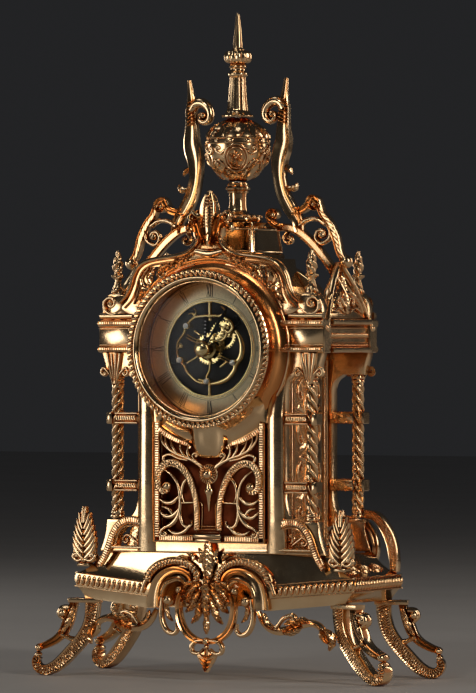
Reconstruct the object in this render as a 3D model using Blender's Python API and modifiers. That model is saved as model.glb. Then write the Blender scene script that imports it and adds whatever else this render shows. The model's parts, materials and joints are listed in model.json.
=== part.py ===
"""Gilt baroque mantel clock with an open, skeleton dial.

Frame: +Z up, X to the right and -Y towards the front, origin on the floor under the finial.
All dimensions below are millimetres; MM turns them into Blender's metres.
"""
import math

import bmesh
import bpy
from mathutils import Matrix, Vector

MM = 0.001
GAP = 0.3                    # clearance between touching castings

# Driving dimensions
FOOT_TOP = 50.0
BASE_TOP = 80.0
BASE_HALF_X = 98.0
BASE_HALF_Y = 41.0
PLATE_MID_Y = 33.5           # mid-plane of the front and rear frames
PLATE_T = 8.0
PLATE_FACE_Y = PLATE_MID_Y + PLATE_T / 2
PLATE_BACK_Y = PLATE_MID_Y - PLATE_T / 2
BODY_HALF_X = 52.5
COLUMN_X = 69.0
COLUMN_R = 4.0
COLUMN_FOOT_Z = 101.0
CAPITAL_Z = 193.0
RUNG_Z = (122.6, 165.5)
CORNICE_Z = (207.0, 228.0)
CORNICE_HALF_X = 80.0
SHOULDER_Z = 244.7
DIAL_Z = 209.5
DRUM_R = 48.5
DRUM_BORE_R = 43.8
DRUM_FRONT_Y = -54.0
OVERALL_HALF_Y = 58.0        # bezel in front, door knob behind
FINIAL_TOP = 424.0
CROWN_R = 56.5               # arch of the front and rear frames
ROOF_R = 51.0
ROOF_TOP_Z = 267.0
DOOR_R = 46.0

# Clockwork
MODULE = 0.6
ARBOR_DISTANCE = 12.0        # 10 + 30 and 8 + 32 teeth share this centre distance
TRAIN_ANGLE = math.radians(45)
MINUTE_ANGLE = math.radians(33)
HOUR_ANGLE = math.radians(2.75)
WHEEL_PLANE_A = (-37.8, -36.6)
WHEEL_PLANE_B = (-40.4, -38.5)
DRIVE_MODULE = 0.5
DRIVE_PLANE = (-32.8, -31.4)

CLOCK = "skeleton_mantel_clock"
parts = None
cutters = None


# ---------------------------------------------------------------- scene and materials
def clear_scene():
    for obj in list(bpy.data.objects):
        bpy.data.objects.remove(obj, do_unlink=True)


def make_collection(name):
    collection = bpy.data.collections.new(name)
    bpy.context.scene.collection.children.link(collection)
    return collection


def make_material(name, colour, roughness, metallic):
    material = bpy.data.materials.new(name)
    material.use_nodes = True
    shader = material.node_tree.nodes["Principled BSDF"]
    shader.inputs["Base Color"].default_value = (*colour, 1.0)
    shader.inputs["Roughness"].default_value = roughness
    shader.inputs["Metallic"].default_value = metallic
    return material


def make_materials():
    return {
        "gilt": make_material("gilt", (0.86, 0.50, 0.26), 0.22, 1.0),
        "brass": make_material("brass", (0.80, 0.62, 0.30), 0.25, 1.0),
        "dial": make_material("dial", (0.80, 0.72, 0.50), 0.4, 0.8),
        "glass": make_material("glass", (0.75, 0.80, 0.85), 0.02, 0.0),
        "black": make_material("black", (0.01, 0.01, 0.01), 0.35, 0.0),
        "plastic": make_material("plastic", (0.03, 0.03, 0.03), 0.5, 0.0),
        "steel": make_material("steel", (0.60, 0.60, 0.60), 0.3, 1.0),
    }


# ---------------------------------------------------------------- modelling helpers
def new_object(name, mesh, material=None):
    obj = bpy.data.objects.new(name, mesh)
    if material is None:
        cutters.objects.link(obj)
        obj.hide_render = True
        obj.display_type = "WIRE"
    else:
        parts.objects.link(obj)
        mesh.materials.clear()
        mesh.materials.append(material)
    return obj


def place(obj, origin):
    """Give a moving piece its origin on its joint's axis; the mesh keeps its place."""
    point = Vector(origin) * MM
    obj.data.transform(Matrix.Translation(-point))
    obj.location = point
    return obj


def bmesh_to_mesh(bm, name):
    mesh = bpy.data.meshes.new(name)
    bmesh.ops.recalc_face_normals(bm, faces=bm.faces)
    bm.to_mesh(mesh)
    bm.free()
    return mesh


def box(name, low, high, material=None):
    bm = bmesh.new()
    size = [(b - a) * MM for a, b in zip(low, high)]
    centre = [(a + b) / 2 * MM for a, b in zip(low, high)]
    matrix = Matrix.Translation(centre) @ Matrix.Diagonal((*size, 1))
    bmesh.ops.create_cube(bm, size=1.0, matrix=matrix)
    return new_object(name, bmesh_to_mesh(bm, name), material)


AXIS_TURN = {
    "X": Matrix.Rotation(math.radians(90), 4, "Y"),
    "Y": Matrix.Rotation(math.radians(-90), 4, "X"),
    "Z": Matrix.Identity(4),
}


def cylinder(name, radius, start, length, axis, material=None, sides=20):
    """A cylinder that begins at start and runs along +axis."""
    bm = bmesh.new()
    bmesh.ops.create_cone(bm, cap_ends=True, segments=sides, radius1=radius * MM,
                          radius2=radius * MM, depth=length * MM,
                          matrix=Matrix.Translation((0, 0, length / 2 * MM)))
    mesh = bmesh_to_mesh(bm, name)
    mesh.transform(Matrix.Translation(Vector(start) * MM) @ AXIS_TURN[axis])
    return new_object(name, mesh, material)


def runs_down_outside(profile):
    """True when the closed (radius, height) outline turns clockwise, as a spun solid needs."""
    pairs = zip(profile, profile[1:] + profile[:1])
    return sum(a[0] * b[1] - b[0] * a[1] for a, b in pairs) < 0


def turned(name, profile, centre, axis, material, steps=24):
    """Spin an outline of (radius, height) points round an axis into one solid."""
    if not runs_down_outside(profile):
        profile = list(reversed(profile))
    mesh = bpy.data.meshes.new(name)
    points = [(r * MM, 0, h * MM) for r, h in profile]
    count = len(points)
    closed = profile[0][0] > 0
    edges = [(i, i + 1) for i in range(count - 1)]
    if closed:
        edges.append((count - 1, 0))
    mesh.from_pydata(points, edges, [])
    obj = new_object(name, mesh, material)
    obj.location = Vector(centre) * MM
    obj.rotation_euler = AXIS_TURN[axis].to_euler()
    screw = obj.modifiers.new("turn", "SCREW")
    screw.steps = steps
    screw.render_steps = steps
    screw.use_merge_vertices = True
    screw.merge_threshold = 0.00001
    screw.use_smooth_shade = True
    return obj


def mirrored(half):
    """Close a half outline, given from the bottom centre up to the top centre."""
    left = [(-x, z) for x, z in reversed(half) if x > GAP]
    return list(half) + left


def flipped(loop):
    return [(-x, z) for x, z in loop]


def arc(centre, radius, start_deg, end_deg, count):
    span = math.radians(end_deg - start_deg)
    first = math.radians(start_deg)
    angles = [first + span * i / (count - 1) for i in range(count)]
    return [(centre[0] + radius * math.cos(a), centre[1] + radius * math.sin(a)) for a in angles]


def circle(centre, radius, count=20):
    return arc(centre, radius, 0, 360 - 360 / count, count)


def curve_mesh(name, loops, thickness, detail):
    """Extrude flat loops, the first one outside and the others as openings."""
    curve = bpy.data.curves.new(name, "CURVE")
    curve.dimensions = "2D"
    curve.fill_mode = "BOTH"
    curve.extrude = thickness / 2 * MM
    for loop in loops:
        spline = curve.splines.new("BEZIER" if detail else "POLY")
        points = spline.bezier_points if detail else spline.points
        points.add(len(loop) - 1)
        for point, (x, z) in zip(points, loop):
            if detail:
                point.co = (x * MM, z * MM, 0)
                point.handle_left_type = "AUTO"
                point.handle_right_type = "AUTO"
            else:
                point.co = (x * MM, z * MM, 0, 1)
        spline.use_cyclic_u = True
        spline.resolution_u = max(detail, 1)
    holder = bpy.data.objects.new(name + "_outline", curve)
    bpy.context.scene.collection.objects.link(holder)
    graph = bpy.context.evaluated_depsgraph_get()
    mesh = bpy.data.meshes.new_from_object(holder.evaluated_get(graph))
    bpy.data.objects.remove(holder)
    bm = bmesh.new()
    bm.from_mesh(mesh)
    bmesh.ops.remove_doubles(bm, verts=bm.verts, dist=0.00001)
    bmesh.ops.recalc_face_normals(bm, faces=bm.faces)
    bm.to_mesh(mesh)
    bm.free()
    return mesh


FACE_FRONT = Matrix.Rotation(math.radians(90), 4, "X")


def plate(name, loops, y_span, material=None, detail=0):
    """A flat plate in the X-Z plane between two Y values."""
    thickness = abs(y_span[1] - y_span[0])
    mesh = curve_mesh(name, loops, thickness, detail)
    middle = (y_span[0] + y_span[1]) / 2 * MM
    mesh.transform(Matrix.Translation((0, middle, 0)) @ FACE_FRONT)
    return new_object(name, mesh, material)


def add_boolean(obj, other, operation):
    modifier = obj.modifiers.new(other.name, "BOOLEAN")
    modifier.operation = operation
    modifier.solver = "EXACT"
    modifier.object = other


def join(obj, others):
    for other in others:
        add_boolean(obj, other, "UNION")


def cut(obj, others):
    for other in others:
        add_boolean(obj, other, "DIFFERENCE")


def loft(name, rings, material=None):
    """Rectangular rings (z, half x, half y), bottom first, joined into one solid."""
    bm = bmesh.new()
    levels = []
    for z, half_x, half_y in rings:
        corners = [(-1, -1), (1, -1), (1, 1), (-1, 1)]
        levels.append([bm.verts.new((sx * half_x * MM, sy * half_y * MM, z * MM)) for sx, sy in corners])
    for lower, upper in zip(levels, levels[1:]):
        for i in range(4):
            j = (i + 1) % 4
            bm.faces.new((lower[i], lower[j], upper[j], upper[i]))
    bm.faces.new(list(reversed(levels[0])))
    bm.faces.new(levels[-1])
    return new_object(name, bmesh_to_mesh(bm, name), material)


# ---------------------------------------------------------------- base and feet
BASE_RINGS = [
    (FOOT_TOP, 92.5, 34.5), (54, 94.6, 36.6), (57.4, 97.2, 40), (58.5, BASE_HALF_X, BASE_HALF_Y),
    (65.5, BASE_HALF_X, BASE_HALF_Y), (66.5, 94, 40), (70, 86.5, 39.6), (75, 82, 39.4),
    (BASE_TOP, 80.2, 39.4),
]
HOLLOW_RINGS = [(49, 80, 24), (56, 88, 33), (64, 90, 36), (76, 76, 35)]
ARCH_HALF = [(0, 44), (46, 44), (44, 55), (38, 62), (30, 67.5), (20, 71.5), (12, 71), (5, 67), (0, 64)]
LEAF_X = 91.3
LEAF_Y = -36.0
LEAF_SEAT_Z = 70.0


def make_base(materials):
    base = loft("base_plinth", BASE_RINGS, materials["gilt"])
    hollow = loft("base_hollow", HOLLOW_RINGS)
    seats = [box(f"leaf_seat_{side}", (side * LEAF_X - 5, LEAF_Y - 4.5, 60),
                 (side * LEAF_X + 5, LEAF_Y + 4, LEAF_SEAT_Z))
             for side in (-1, 1)]
    arch = plate("base_arch", [mirrored(ARCH_HALF)], (-50, -30))
    join(base, seats)
    cut(base, [hollow, arch])


FOOT_OUTLINE = [
    (14.6, 50), (14.6, 46), (14.9, 40), (16.4, 32.5), (20, 24.8), (25.4, 17.2), (32, 10.1), (38.6, 4.4),
    (43.4, 1.2), (46, 0.1), (52, 0.1), (57, 1.8), (60.2, 5.7), (60.8, 9.8), (59.4, 13), (57.6, 15),
    (57.4, 18.4), (55.4, 20.6), (51.9, 21.4), (47.5, 22.9), (42.8, 27.5), (40.6, 31.8), (41.2, 36.4),
    (43.4, 39.8), (42.8, 42.8), (39.8, 44.4), (36.2, 44), (34.8, 47), (34.6, 50),
]
FOOT_SLOTS = [
    [(30.2, 43.4), (25.4, 44.8), (24.6, 39.8), (26, 34), (29.6, 27.8), (33.8, 24), (36.6, 25.4), (34, 29),
     (31.6, 34.7), (30.4, 39.8)],
    [(36.4, 20.9), (35.6, 19), (40.4, 13.7), (46, 8.8), (50.8, 6.4), (53.8, 9.1), (53, 13), (49.4, 15.9),
     (43.5, 18.8)],
]
FOOT_X = 69.0
FOOT_Y = 24.8
FOOT_SPLAY = math.radians(17)
FOOT_T = 9.0


def make_feet(materials):
    mesh = curve_mesh("foot", [FOOT_OUTLINE] + FOOT_SLOTS, FOOT_T, 0)
    for depth, sign_y in (("front", -1), ("rear", 1)):
        for side, sign_x in (("left", -1), ("right", 1)):
            foot = new_object(f"foot_{depth}_{side}", mesh.copy(), materials["gilt"])
            heading = math.atan2(sign_y * math.sin(FOOT_SPLAY), sign_x * math.cos(FOOT_SPLAY))
            foot.data.transform(FACE_FRONT)
            foot.location = Vector((sign_x * FOOT_X, sign_y * FOOT_Y, -0.1)) * MM
            foot.rotation_euler = (0, 0, heading)


APRON_HALF = [
    (0, 8), (4, 13), (9, 15.5), (12.5, 20), (10, 25), (9, 28), (15, 31), (21, 36), (24, 41), (28, 37.5),
    (33, 36), (35.6, 39), (36.6, 43), (40.4, 37.5), (45, 31.8), (51, 29.4), (57, 30.6), (62, 32.8),
    (68, 34.4), (73, 34.2), (78, 31.4), (81, 27), (83, 22), (87, 22), (87.4, 27.4), (84.4, 34.4),
    (78.4, 39.8), (71, 41.8), (63, 40.4), (57, 37.4), (51, 36.2), (46.6, 39.4), (44.4, 45.6), (46.6, 52),
    (46.4, 57), (43, 62.5), (35, 68.5), (26, 73), (18, 76), (10, 75.5), (4, 71), (0, 68),
]
APRON_OPENINGS = [
    [(3.4, 22), (7, 23.6), (9, 21), (7.4, 18.4), (4, 19)],
    [(5, 32), (11.5, 34.4), (16.6, 40), (17.6, 47), (14.6, 53), (9.6, 55), (10.6, 49.4), (9, 43), (5.4, 38)],
    [(23.2, 47), (27, 44.4), (29, 48.6), (28.4, 54), (24.6, 57.6), (22.4, 53)],
    [(5, 62.4), (10.6, 68.6), (17.6, 69.4), (19.4, 64.6), (14.6, 60.6), (8.4, 59.4)],
    [(25.4, 66), (33.6, 62.4), (39.4, 56), (40, 51.4), (34.6, 52), (31.8, 58.4), (26.4, 62)],
]
APRON_Y = (-45.5, -41.3)


def make_apron(materials):
    openings = APRON_OPENINGS + [flipped(loop) for loop in APRON_OPENINGS]
    plate("front_apron", [mirrored(APRON_HALF)] + openings, APRON_Y, materials["gilt"])


LEAF_HALF = [(4, LEAF_SEAT_Z + GAP), (6.2, 72.5), (7.4, 75), (8.8, 79), (8.2, 85), (5.6, 94), (2.6, 101.5),
             (0, 104.5)]


def make_leaf_finials(materials):
    for side, sign in (("left", -1), ("right", 1)):
        loop = [(x + sign * LEAF_X, z) for x, z in mirrored(LEAF_HALF)]
        plate(f"leaf_finial_{side}", [loop], (LEAF_Y - 4, LEAF_Y + 3.5), materials["gilt"])


# ---------------------------------------------------------------- frames
SHOULDER_LEFT_X = 61.0


def frame_half():
    lower = [(80, BASE_TOP + GAP), (77.4, 87), (75.6, 94), (75, COLUMN_FOOT_Z),
             (63, COLUMN_FOOT_Z), (57.5, 103), (54, 108), (BODY_HALF_X, 115)]
    capital = [(BODY_HALF_X, 184), (54.5, 189), (60, CAPITAL_Z), (75, CAPITAL_Z), (76, 200), (78, 206)]
    shoulder = [(78, 234), (76.6, 240), (73.4, SHOULDER_Z), (64.6, SHOULDER_Z), (SHOULDER_LEFT_X, 241)]
    top = arc((0, DIAL_Z), CROWN_R + 0.6, 34, 90, 9)
    return lower + capital + shoulder + top


ARCH_WINDOW = [(46, 84), (68.5, 84), (67, 91), (62.5, 95.8), (56.5, 97.3), (50.5, 95.8), (46.6, 91.4)]


def make_frame(name, sign_y, material, openings):
    near = sign_y * PLATE_BACK_Y
    far = sign_y * PLATE_FACE_Y
    frame = plate(name, [mirrored(frame_half())] + openings, (near, far), material)
    additions = []
    holes = []
    for sign_x in (-1, 1):
        for i, z in enumerate(RUNG_Z):
            ends = sorted((sign_x * 51, sign_x * 75.5))
            rung_y = sorted((sign_y * 28, sign_y * 39))
            additions.append(box(f"{name}_rung_{i}_{sign_x}", (ends[0], rung_y[0], z - 3.7),
                                 (ends[1], rung_y[1], z + 3.7)))
        cornice_y = sorted((sign_y * 28, sign_y * 39.4))
        ends = sorted((sign_x * 49.6, sign_x * CORNICE_HALF_X))
        additions.append(box(f"{name}_cornice_{sign_x}", (ends[0], cornice_y[0], CORNICE_Z[0]),
                             (ends[1], cornice_y[1], CORNICE_Z[1])))
        holes.append(cylinder(f"{name}_column_bore_{sign_x}", COLUMN_R + GAP,
                              (sign_x * COLUMN_X, sign_y * PLATE_MID_Y, COLUMN_FOOT_Z + 1),
                              CAPITAL_Z - COLUMN_FOOT_Z - 2, "Z", sides=16))
    join(frame, additions)
    cut(frame, holes)
    return frame


def make_front_frame(materials):
    window = [(-35, 91), (35, 91)] + arc((0, DIAL_Z), 64.5, -57, -123, 9)
    openings = [window, circle((0, DIAL_Z), DRUM_R + GAP, 32), ARCH_WINDOW, flipped(ARCH_WINDOW)]
    make_frame("front_frame", -1, materials["gilt"], openings)


BUTTRESS = [(74, 101.5), (81, 99), (87.5, 92), (91.5, 82), (92.6, 67.7), (97.4, 67.7), (97, 82), (92.5, 95),
            (85.5, 104), (74, 108)]
HINGE_X = -50.5
HINGE_Y = 41.4
HINGE_KNUCKLES = (DIAL_Z - 12.6, DIAL_Z + 4.6)


def make_rear_frame(materials):
    openings = [circle((0, DIAL_Z), DOOR_R - 3, 32), ARCH_WINDOW, flipped(ARCH_WINDOW)]
    frame = make_frame("rear_frame", 1, materials["gilt"], openings)
    span = (PLATE_BACK_Y + 0.5, PLATE_FACE_Y - 0.5)
    arches = [plate("buttress_right", [BUTTRESS], span),
              plate("buttress_left", [flipped(BUTTRESS)], span)]
    blocks = [box(f"buttress_foot_{sign}", (min(sign * 74, sign * 77), span[0], 99),
                  (max(sign * 74, sign * 77), span[1], 104)) for sign in (-1, 1)]
    knuckles = []
    for i, z in enumerate(HINGE_KNUCKLES):
        knuckles.append(cylinder(f"frame_knuckle_{i}", 2.0, (HINGE_X, HINGE_Y, z), 8, "Z", sides=12))
        knuckles.append(box(f"frame_leaf_{i}", (HINGE_X - 5, PLATE_FACE_Y - 1, z + 0.5),
                            (HINGE_X, HINGE_Y + 1, z + 7.5)))
    join(frame, arches + blocks + knuckles)
    cut(frame, [cylinder("frame_pin_bore", 1.0, (HINGE_X, HINGE_Y, DIAL_Z - 20), 40, "Z", sides=12)])


COLUMN_LOBES = 4
COLUMN_RINGS = 18
COLUMN_TURNS = 2.25


def column_mesh(name):
    """A rope-twisted rod: a lobed section turned a little further at each ring."""
    bm = bmesh.new()
    low = COLUMN_FOOT_Z + GAP
    height = CAPITAL_Z - COLUMN_FOOT_Z - 2 * GAP
    count = COLUMN_LOBES * 2
    rings = []
    for k in range(COLUMN_RINGS + 1):
        twist = 2 * math.pi * COLUMN_TURNS * k / COLUMN_RINGS
        z = low + height * k / COLUMN_RINGS
        ring = []
        for i in range(count):
            radius = COLUMN_R if i % 2 == 0 else COLUMN_R * 0.78
            angle = 2 * math.pi * i / count + twist
            ring.append(bm.verts.new((radius * math.cos(angle) * MM, radius * math.sin(angle) * MM, z * MM)))
        rings.append(ring)
    for lower, upper in zip(rings, rings[1:]):
        for i in range(count):
            j = (i + 1) % count
            bm.faces.new((lower[i], lower[j], upper[j], upper[i]))
    bm.faces.new(list(reversed(rings[0])))
    bm.faces.new(rings[-1])
    return bmesh_to_mesh(bm, name)


def make_columns(materials):
    mesh = column_mesh("column")
    for depth, sign_y in (("front", -1), ("rear", 1)):
        for side, sign_x in (("left", -1), ("right", 1)):
            column = new_object(f"column_{depth}_{side}", mesh.copy(), materials["gilt"])
            column.location = Vector((sign_x * COLUMN_X, sign_y * PLATE_MID_Y, 0)) * MM


PINNACLE = [(0, 27.4), (1.2, 26.6), (2.6, 22), (3.0, 17), (2.2, 14.4), (3.7, 12), (2.0, 9), (3.8, 4.4),
            (3.8, 0), (0, 0)]


def make_pinnacles(materials):
    for depth, sign_y in (("front", -1), ("rear", 1)):
        for side, sign_x in (("left", -1), ("right", 1)):
            turned(f"pinnacle_{depth}_{side}", PINNACLE,
                   (sign_x * COLUMN_X, sign_y * PLATE_MID_Y, SHOULDER_Z + GAP), "Z", materials["gilt"], 10)


SIDE_WALL_X = (46.8, 50.2)
CORNICE_SECTION = [
    (46.8, 207), (80, 207), (80, 210.5), (78, 212), (78, 223.5), (80, 225), (80, 228), (60, 228), (46.8, 212),
]
CREST_LEAN = math.radians(-9)
SIDE_CREST_HALF = [(0, 0), (27.6, 0), (26.5, 10), (21, 19), (12, 25), (6, 27.6), (0, 28)]
SIDE_CREST_OPENING = [(22, 4.5), (19.5, 13), (12, 20.5), (5, 24.5), (3.5, 14), (6.5, 6.5), (13, 4)]


def make_sides(materials):
    inner = PLATE_BACK_Y - GAP
    for side, sign in (("left", -1), ("right", 1)):
        ends = sorted((sign * SIDE_WALL_X[0], sign * SIDE_WALL_X[1]))
        box(f"side_panel_{side}", (ends[0], -inner, BASE_TOP + GAP), (ends[1], inner, CORNICE_Z[0] - GAP),
            materials["gilt"])
        section = [(sign * x, z) for x, z in CORNICE_SECTION]
        plate(f"side_cornice_{side}", [section], (-27.7, 27.7), materials["gilt"])
        openings = [SIDE_CREST_OPENING, flipped(SIDE_CREST_OPENING)]
        crest = new_object(f"side_crest_{side}", curve_mesh(side, [mirrored(SIDE_CREST_HALF)] + openings,
                                                            4, 0),
                           materials["gilt"])
        crest.data.transform(FACE_FRONT)
        crest.location = Vector((sign * 76, 0, CORNICE_Z[1] + 0.8)) * MM
        crest.rotation_euler = (0, sign * CREST_LEAN, 0)
        crest.data.transform(Matrix.Rotation(math.radians(90), 4, "Z"))


GRILLE_HALF_X = 39.0
GRILLE_OPENINGS = [
    [(2.4, 95), (5.4, 95), (7.4, 112), (2.4, 112)],
    [(10, 92.5), (20, 92.5), (21, 99), (15, 107), (10.4, 104)],
    [(24, 92.5), (34.5, 92.5), (34.5, 105), (30, 101), (25, 99.5)],
    [(12, 111), (18, 105.4), (20.4, 112), (18.6, 121), (14, 124.6)],
    [(24, 104), (29, 106), (33, 112), (30.5, 119), (24.6, 122), (23, 113)],
    [(24, 126), (31, 124), (34.6, 118), (34.8, 130), (30, 133), (21.5, 131.6)],
    [(11.5, 129), (15, 131.4), (19.6, 136), (26.5, 137), (29.6, 141), (20, 141.6), (12.6, 136)],
    [(33, 138), (35, 142), (35, 153), (29.4, 149.6), (21.6, 146), (27.6, 145)],
    [(12.6, 141), (18.6, 145), (22, 149.4), (16, 146.4)],
]
GRILLE_Y = (-41.4, -37.8)


def make_grille(materials):
    half = [(0, 87), (GRILLE_HALF_X, 87), (GRILLE_HALF_X, 163.5)]
    half += arc((0, DIAL_Z), 60, -55, -75, 5)
    half += [(12.5, 147.6), (9.6, 142), (5.5, 139.4), (0, 138.6)]
    openings = GRILLE_OPENINGS + [flipped(loop) for loop in GRILLE_OPENINGS]
    plate("front_grille", [mirrored(half)] + openings, GRILLE_Y, materials["gilt"])


CREST_INNER_R = 49.4
PALMETTE = [(22, 268.6), (15, 272.4), (11, 277.6), (8.4, 284), (11, 287.4), (13.6, 291), (13, 296),
            (9.6, 298.6), (7, 298), (7, 304), (4.4, 309), (0, 310.6)]
CREST_OPENINGS = [
    [(10, 262.5), (19, 260.6), (25, 257.4), (27, 261.6), (20, 265.6), (12, 267)],
    [(30, 254.6), (37, 249.4), (42, 247), (46, 252), (46, 260), (38, 263.2), (31, 262)],
    [(46.6, 240.6), (50.4, 236.4), (56, 237.4), (52.6, 243.4), (51.4, 250), (47.6, 246)],
]


def make_crest(materials):
    outer = [(44.6, 231), (56, 231.4), (63, 235.4), (58.4, 241), (56, 249), (53.6, 259), (47.6, 265.4),
             (35, 267.4)]
    inner = arc((0, DIAL_Z), CREST_INNER_R, 90, 28, 10)
    half = inner + outer + PALMETTE
    openings = CREST_OPENINGS + [flipped(loop) for loop in CREST_OPENINGS]
    plate("front_crest", [mirrored(half)] + openings, (-41.6, -37.8), materials["gilt"])


# ---------------------------------------------------------------- roof, brackets and finial
ROD_R = 2.0
BORE_R = 2.4
PEDESTAL_Z = (267.3, 290.0)
STEM_Z = 290.3
URN_Z = 316.3
NECK_Z = 357.3

STEM = [(BORE_R, 25.6), (6.4, 25.6), (6.2, 23.4), (8.0, 22.4), (8.0, 20.4), (6.0, 19.2), (6.2, 7.2), (9.4,
        5.2),
        (14.4, 4.4), (16.0, 2.6), (15.2, 0), (BORE_R, 0)]
URN = [(BORE_R, 40.6), (7.6, 40.6), (9.5, 37.8), (13.2, 35.2), (16.6, 32.2), (18.9, 29), (20.7, 25), (20.9,
        21.4),
       (19.9, 16.9), (18.2, 13.4), (15.4, 9.4), (11.6, 5.1), (8.6, 2.3), (6.0, 0), (BORE_R, 0)]
NECK_TOP = FINIAL_TOP - NECK_Z
NECK = [(0, NECK_TOP), (0.7, NECK_TOP - 0.6), (2.6, 43.6), (4.2, 42.4), (7.6, 41), (8.5, 38.6), (7.4, 36),
        (5.0, 34.4),
        (5.8, 32.6), (4.8, 31), (6.4, 28.4), (5.2, 26.2), (6.5, 4.2), (8.2, 2.6), (10.4, 1.6), (10.4,
                0), (BORE_R, 0),
        (BORE_R, 30), (0, 30)]


def make_roof(materials):
    flank = arc((0, DIAL_Z), ROOF_R, 15, 51, 7) + [(29.2, 254.4), (27.4, 260), (26.5, ROOF_TOP_Z)]
    inner = arc((0, DIAL_Z), ROOF_R - 3, 165, 15, 19)
    span = PLATE_BACK_Y - GAP
    outline = flank + flipped(reversed(flank)) + inner
    plate("roof_shell", [outline], (-span, span), materials["gilt"])


def make_pedestal(materials):
    rings = [(PEDESTAL_Z[0], 22.6, 22.6), (270, 22.6, 22.6), (271, 21.8, 21.8), (288.6, 19.6, 19.6),
             (288.8, 20.4, 20.4), (PEDESTAL_Z[1], 20.4, 20.4)]
    pedestal = loft("pedestal", rings, materials["gilt"])
    cut(pedestal, [cylinder("pedestal_bore", BORE_R, (0, 0, 260), 40, "Z", sides=16)])


def make_finial(materials):
    gilt = materials["gilt"]
    turned("urn_stem", STEM, (0, 0, STEM_Z), "Z", gilt, 16)
    turned("urn", URN, (0, 0, URN_Z), "Z", gilt, 20)
    turned("spire", NECK, (0, 0, NECK_Z), "Z", gilt, 12)
    cylinder("finial_tie_rod", ROD_R, (0, 0, 268), 116, "Z", materials["steel"], sides=12)


BRACKET = [
    (30.8, 383), (29.0, 377), (28.4, 370), (24, 369), (18.6, 366), (15.4, 361), (16.2, 355), (20.4, 352),
    (25, 353.4), (27, 356.6), (27.6, 352), (27, 346), (25, 339), (24.6, 330), (26, 318), (28.6, 308),
    (32.6, 300.4), (38.4, 294.6), (38.6, 288.6), (33, 286.6), (27, 289.2), (26.4, 293), (24, 296.2),
    (21, 294), (21, 289), (24, 285.4), (29, 283.4), (36, 284), (42.4, 281.4), (50, 275.4), (58, 267), (66,
            257.6),
    (72.2, 259.4), (77, 259.6), (80.6, 263), (79.8, 267.4), (76, 269.4), (73.6, 272), (71.4, 279.6),
    (67, 286.4), (60.4, 292.4), (58.4, 298), (57.6, 304.4), (53.4, 308.4), (48.4, 306.6), (46.4, 303.4),
    (43.4, 303.6), (41.4, 309), (38.6, 313.6), (36.4, 312), (34.4, 318), (37.4, 321.2), (37.6, 323), (33.4,
            324.4),
    (33.8, 329), (36.4, 336), (36.8, 345), (35.8, 356), (34.6, 364), (33, 371), (33.4, 378),
]
BRACKET_OPENINGS = [
    [(20.4, 362), (24, 364.6), (27.6, 363), (28, 359.4), (24.6, 360.4), (22.6, 357.6), (20, 358)],
    [(46, 290), (55, 290), (60.6, 284.6), (58.4, 280), (52, 279.6), (46.2, 283.4)],
    [(63, 279), (67.4, 275), (69.8, 268.4), (66.4, 266), (60.6, 272)],
    [(49, 298), (53.6, 297), (54.4, 302.4), (51, 304), (48.6, 301.4)],
]


def make_brackets(materials):
    for side, sign in (("left", -1), ("right", 1)):
        loops = [[(sign * x, z) for x, z in loop] for loop in [BRACKET] + BRACKET_OPENINGS]
        plate(f"scroll_bracket_{side}", loops, (-3.5, 3.5), materials["gilt"])


# ---------------------------------------------------------------- drum, dial and glass
def make_drum(materials):
    step = -38.1
    back = -PLATE_BACK_Y
    profile = [(DRUM_R, back), (DRUM_R, DRUM_FRONT_Y), (DRUM_BORE_R, DRUM_FRONT_Y), (DRUM_BORE_R, step),
               (40.6, step), (40.6, step + 1.6), (DRUM_BORE_R, step + 1.6), (DRUM_BORE_R, back)]
    turned("dial_drum", profile, (0, 0, DIAL_Z), "Y", materials["gilt"], 28)


def make_bezel(materials):
    front = -OVERALL_HALF_Y
    back = DRUM_FRONT_Y - 0.4
    profile = [(42.4, back), (42.4, front + 1.2), (44, front + 0.6), (45.4, front + 0.7), (46.6, front),
               (48.6, front + 0.4), (50, front + 1.8), (50, back)]
    turned("bezel", profile, (0, 0, DIAL_Z), "Y", materials["gilt"], 28)


def make_glass(materials):
    """A shallow dome: two parallel spherical faces with a flat rim."""
    edge_r, rise, edge_y, thick = 43.4, 3.4, -53.7, 1.3
    ball = (edge_r ** 2 + rise ** 2) / (2 * rise)
    radii = [0, 12, 24, 34, edge_r]
    outer = [(r, edge_y - rise + ball - math.sqrt(ball ** 2 - r ** 2)) for r in radii]
    inner = [(r, y + thick) for r, y in reversed(outer)]
    turned("dial_glass", outer + inner, (0, 0, DIAL_Z), "Y", materials["glass"], 20)


def dial_point(radius, angle):
    return (radius * math.sin(angle), DIAL_Z + radius * math.cos(angle))


SCREW_SPOTS = [dial_point(20.5, math.radians(a)) for a in (-45, -110, 180, 115)]
MINUTE_WHEEL_SPOT = (ARBOR_DISTANCE * math.cos(TRAIN_ANGLE), DIAL_Z + ARBOR_DISTANCE * math.sin(TRAIN_ANGLE))
SETTING_SPOT = (2 * ARBOR_DISTANCE * math.cos(TRAIN_ANGLE),
                DIAL_Z + 2 * ARBOR_DISTANCE * math.sin(TRAIN_ANGLE))
THIRD_SPOT = (-12.0, DIAL_Z)
ROTOR_SPOT = (14.0, DIAL_Z + 1.0)
PLATE_SPAN = (-36.2, -34.9)


def make_dial(materials):
    ring = [circle((0, DIAL_Z), DRUM_BORE_R - 0.4, 28), circle((0, DIAL_Z), 29.6, 28)]
    plate("chapter_ring", ring, (-39.2, -38.4), materials["dial"])
    holes = [circle(spot, 1.2, 8) for spot in SCREW_SPOTS]
    holes += [circle((0, DIAL_Z), 1.3, 12), circle(MINUTE_WHEEL_SPOT, 1.0, 10), circle(SETTING_SPOT, 1.4, 10)]
    plate("movement_plate", [circle((0, DIAL_Z), DRUM_BORE_R - 0.4, 28)] + holes, PLATE_SPAN,
          materials["black"])


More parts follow.
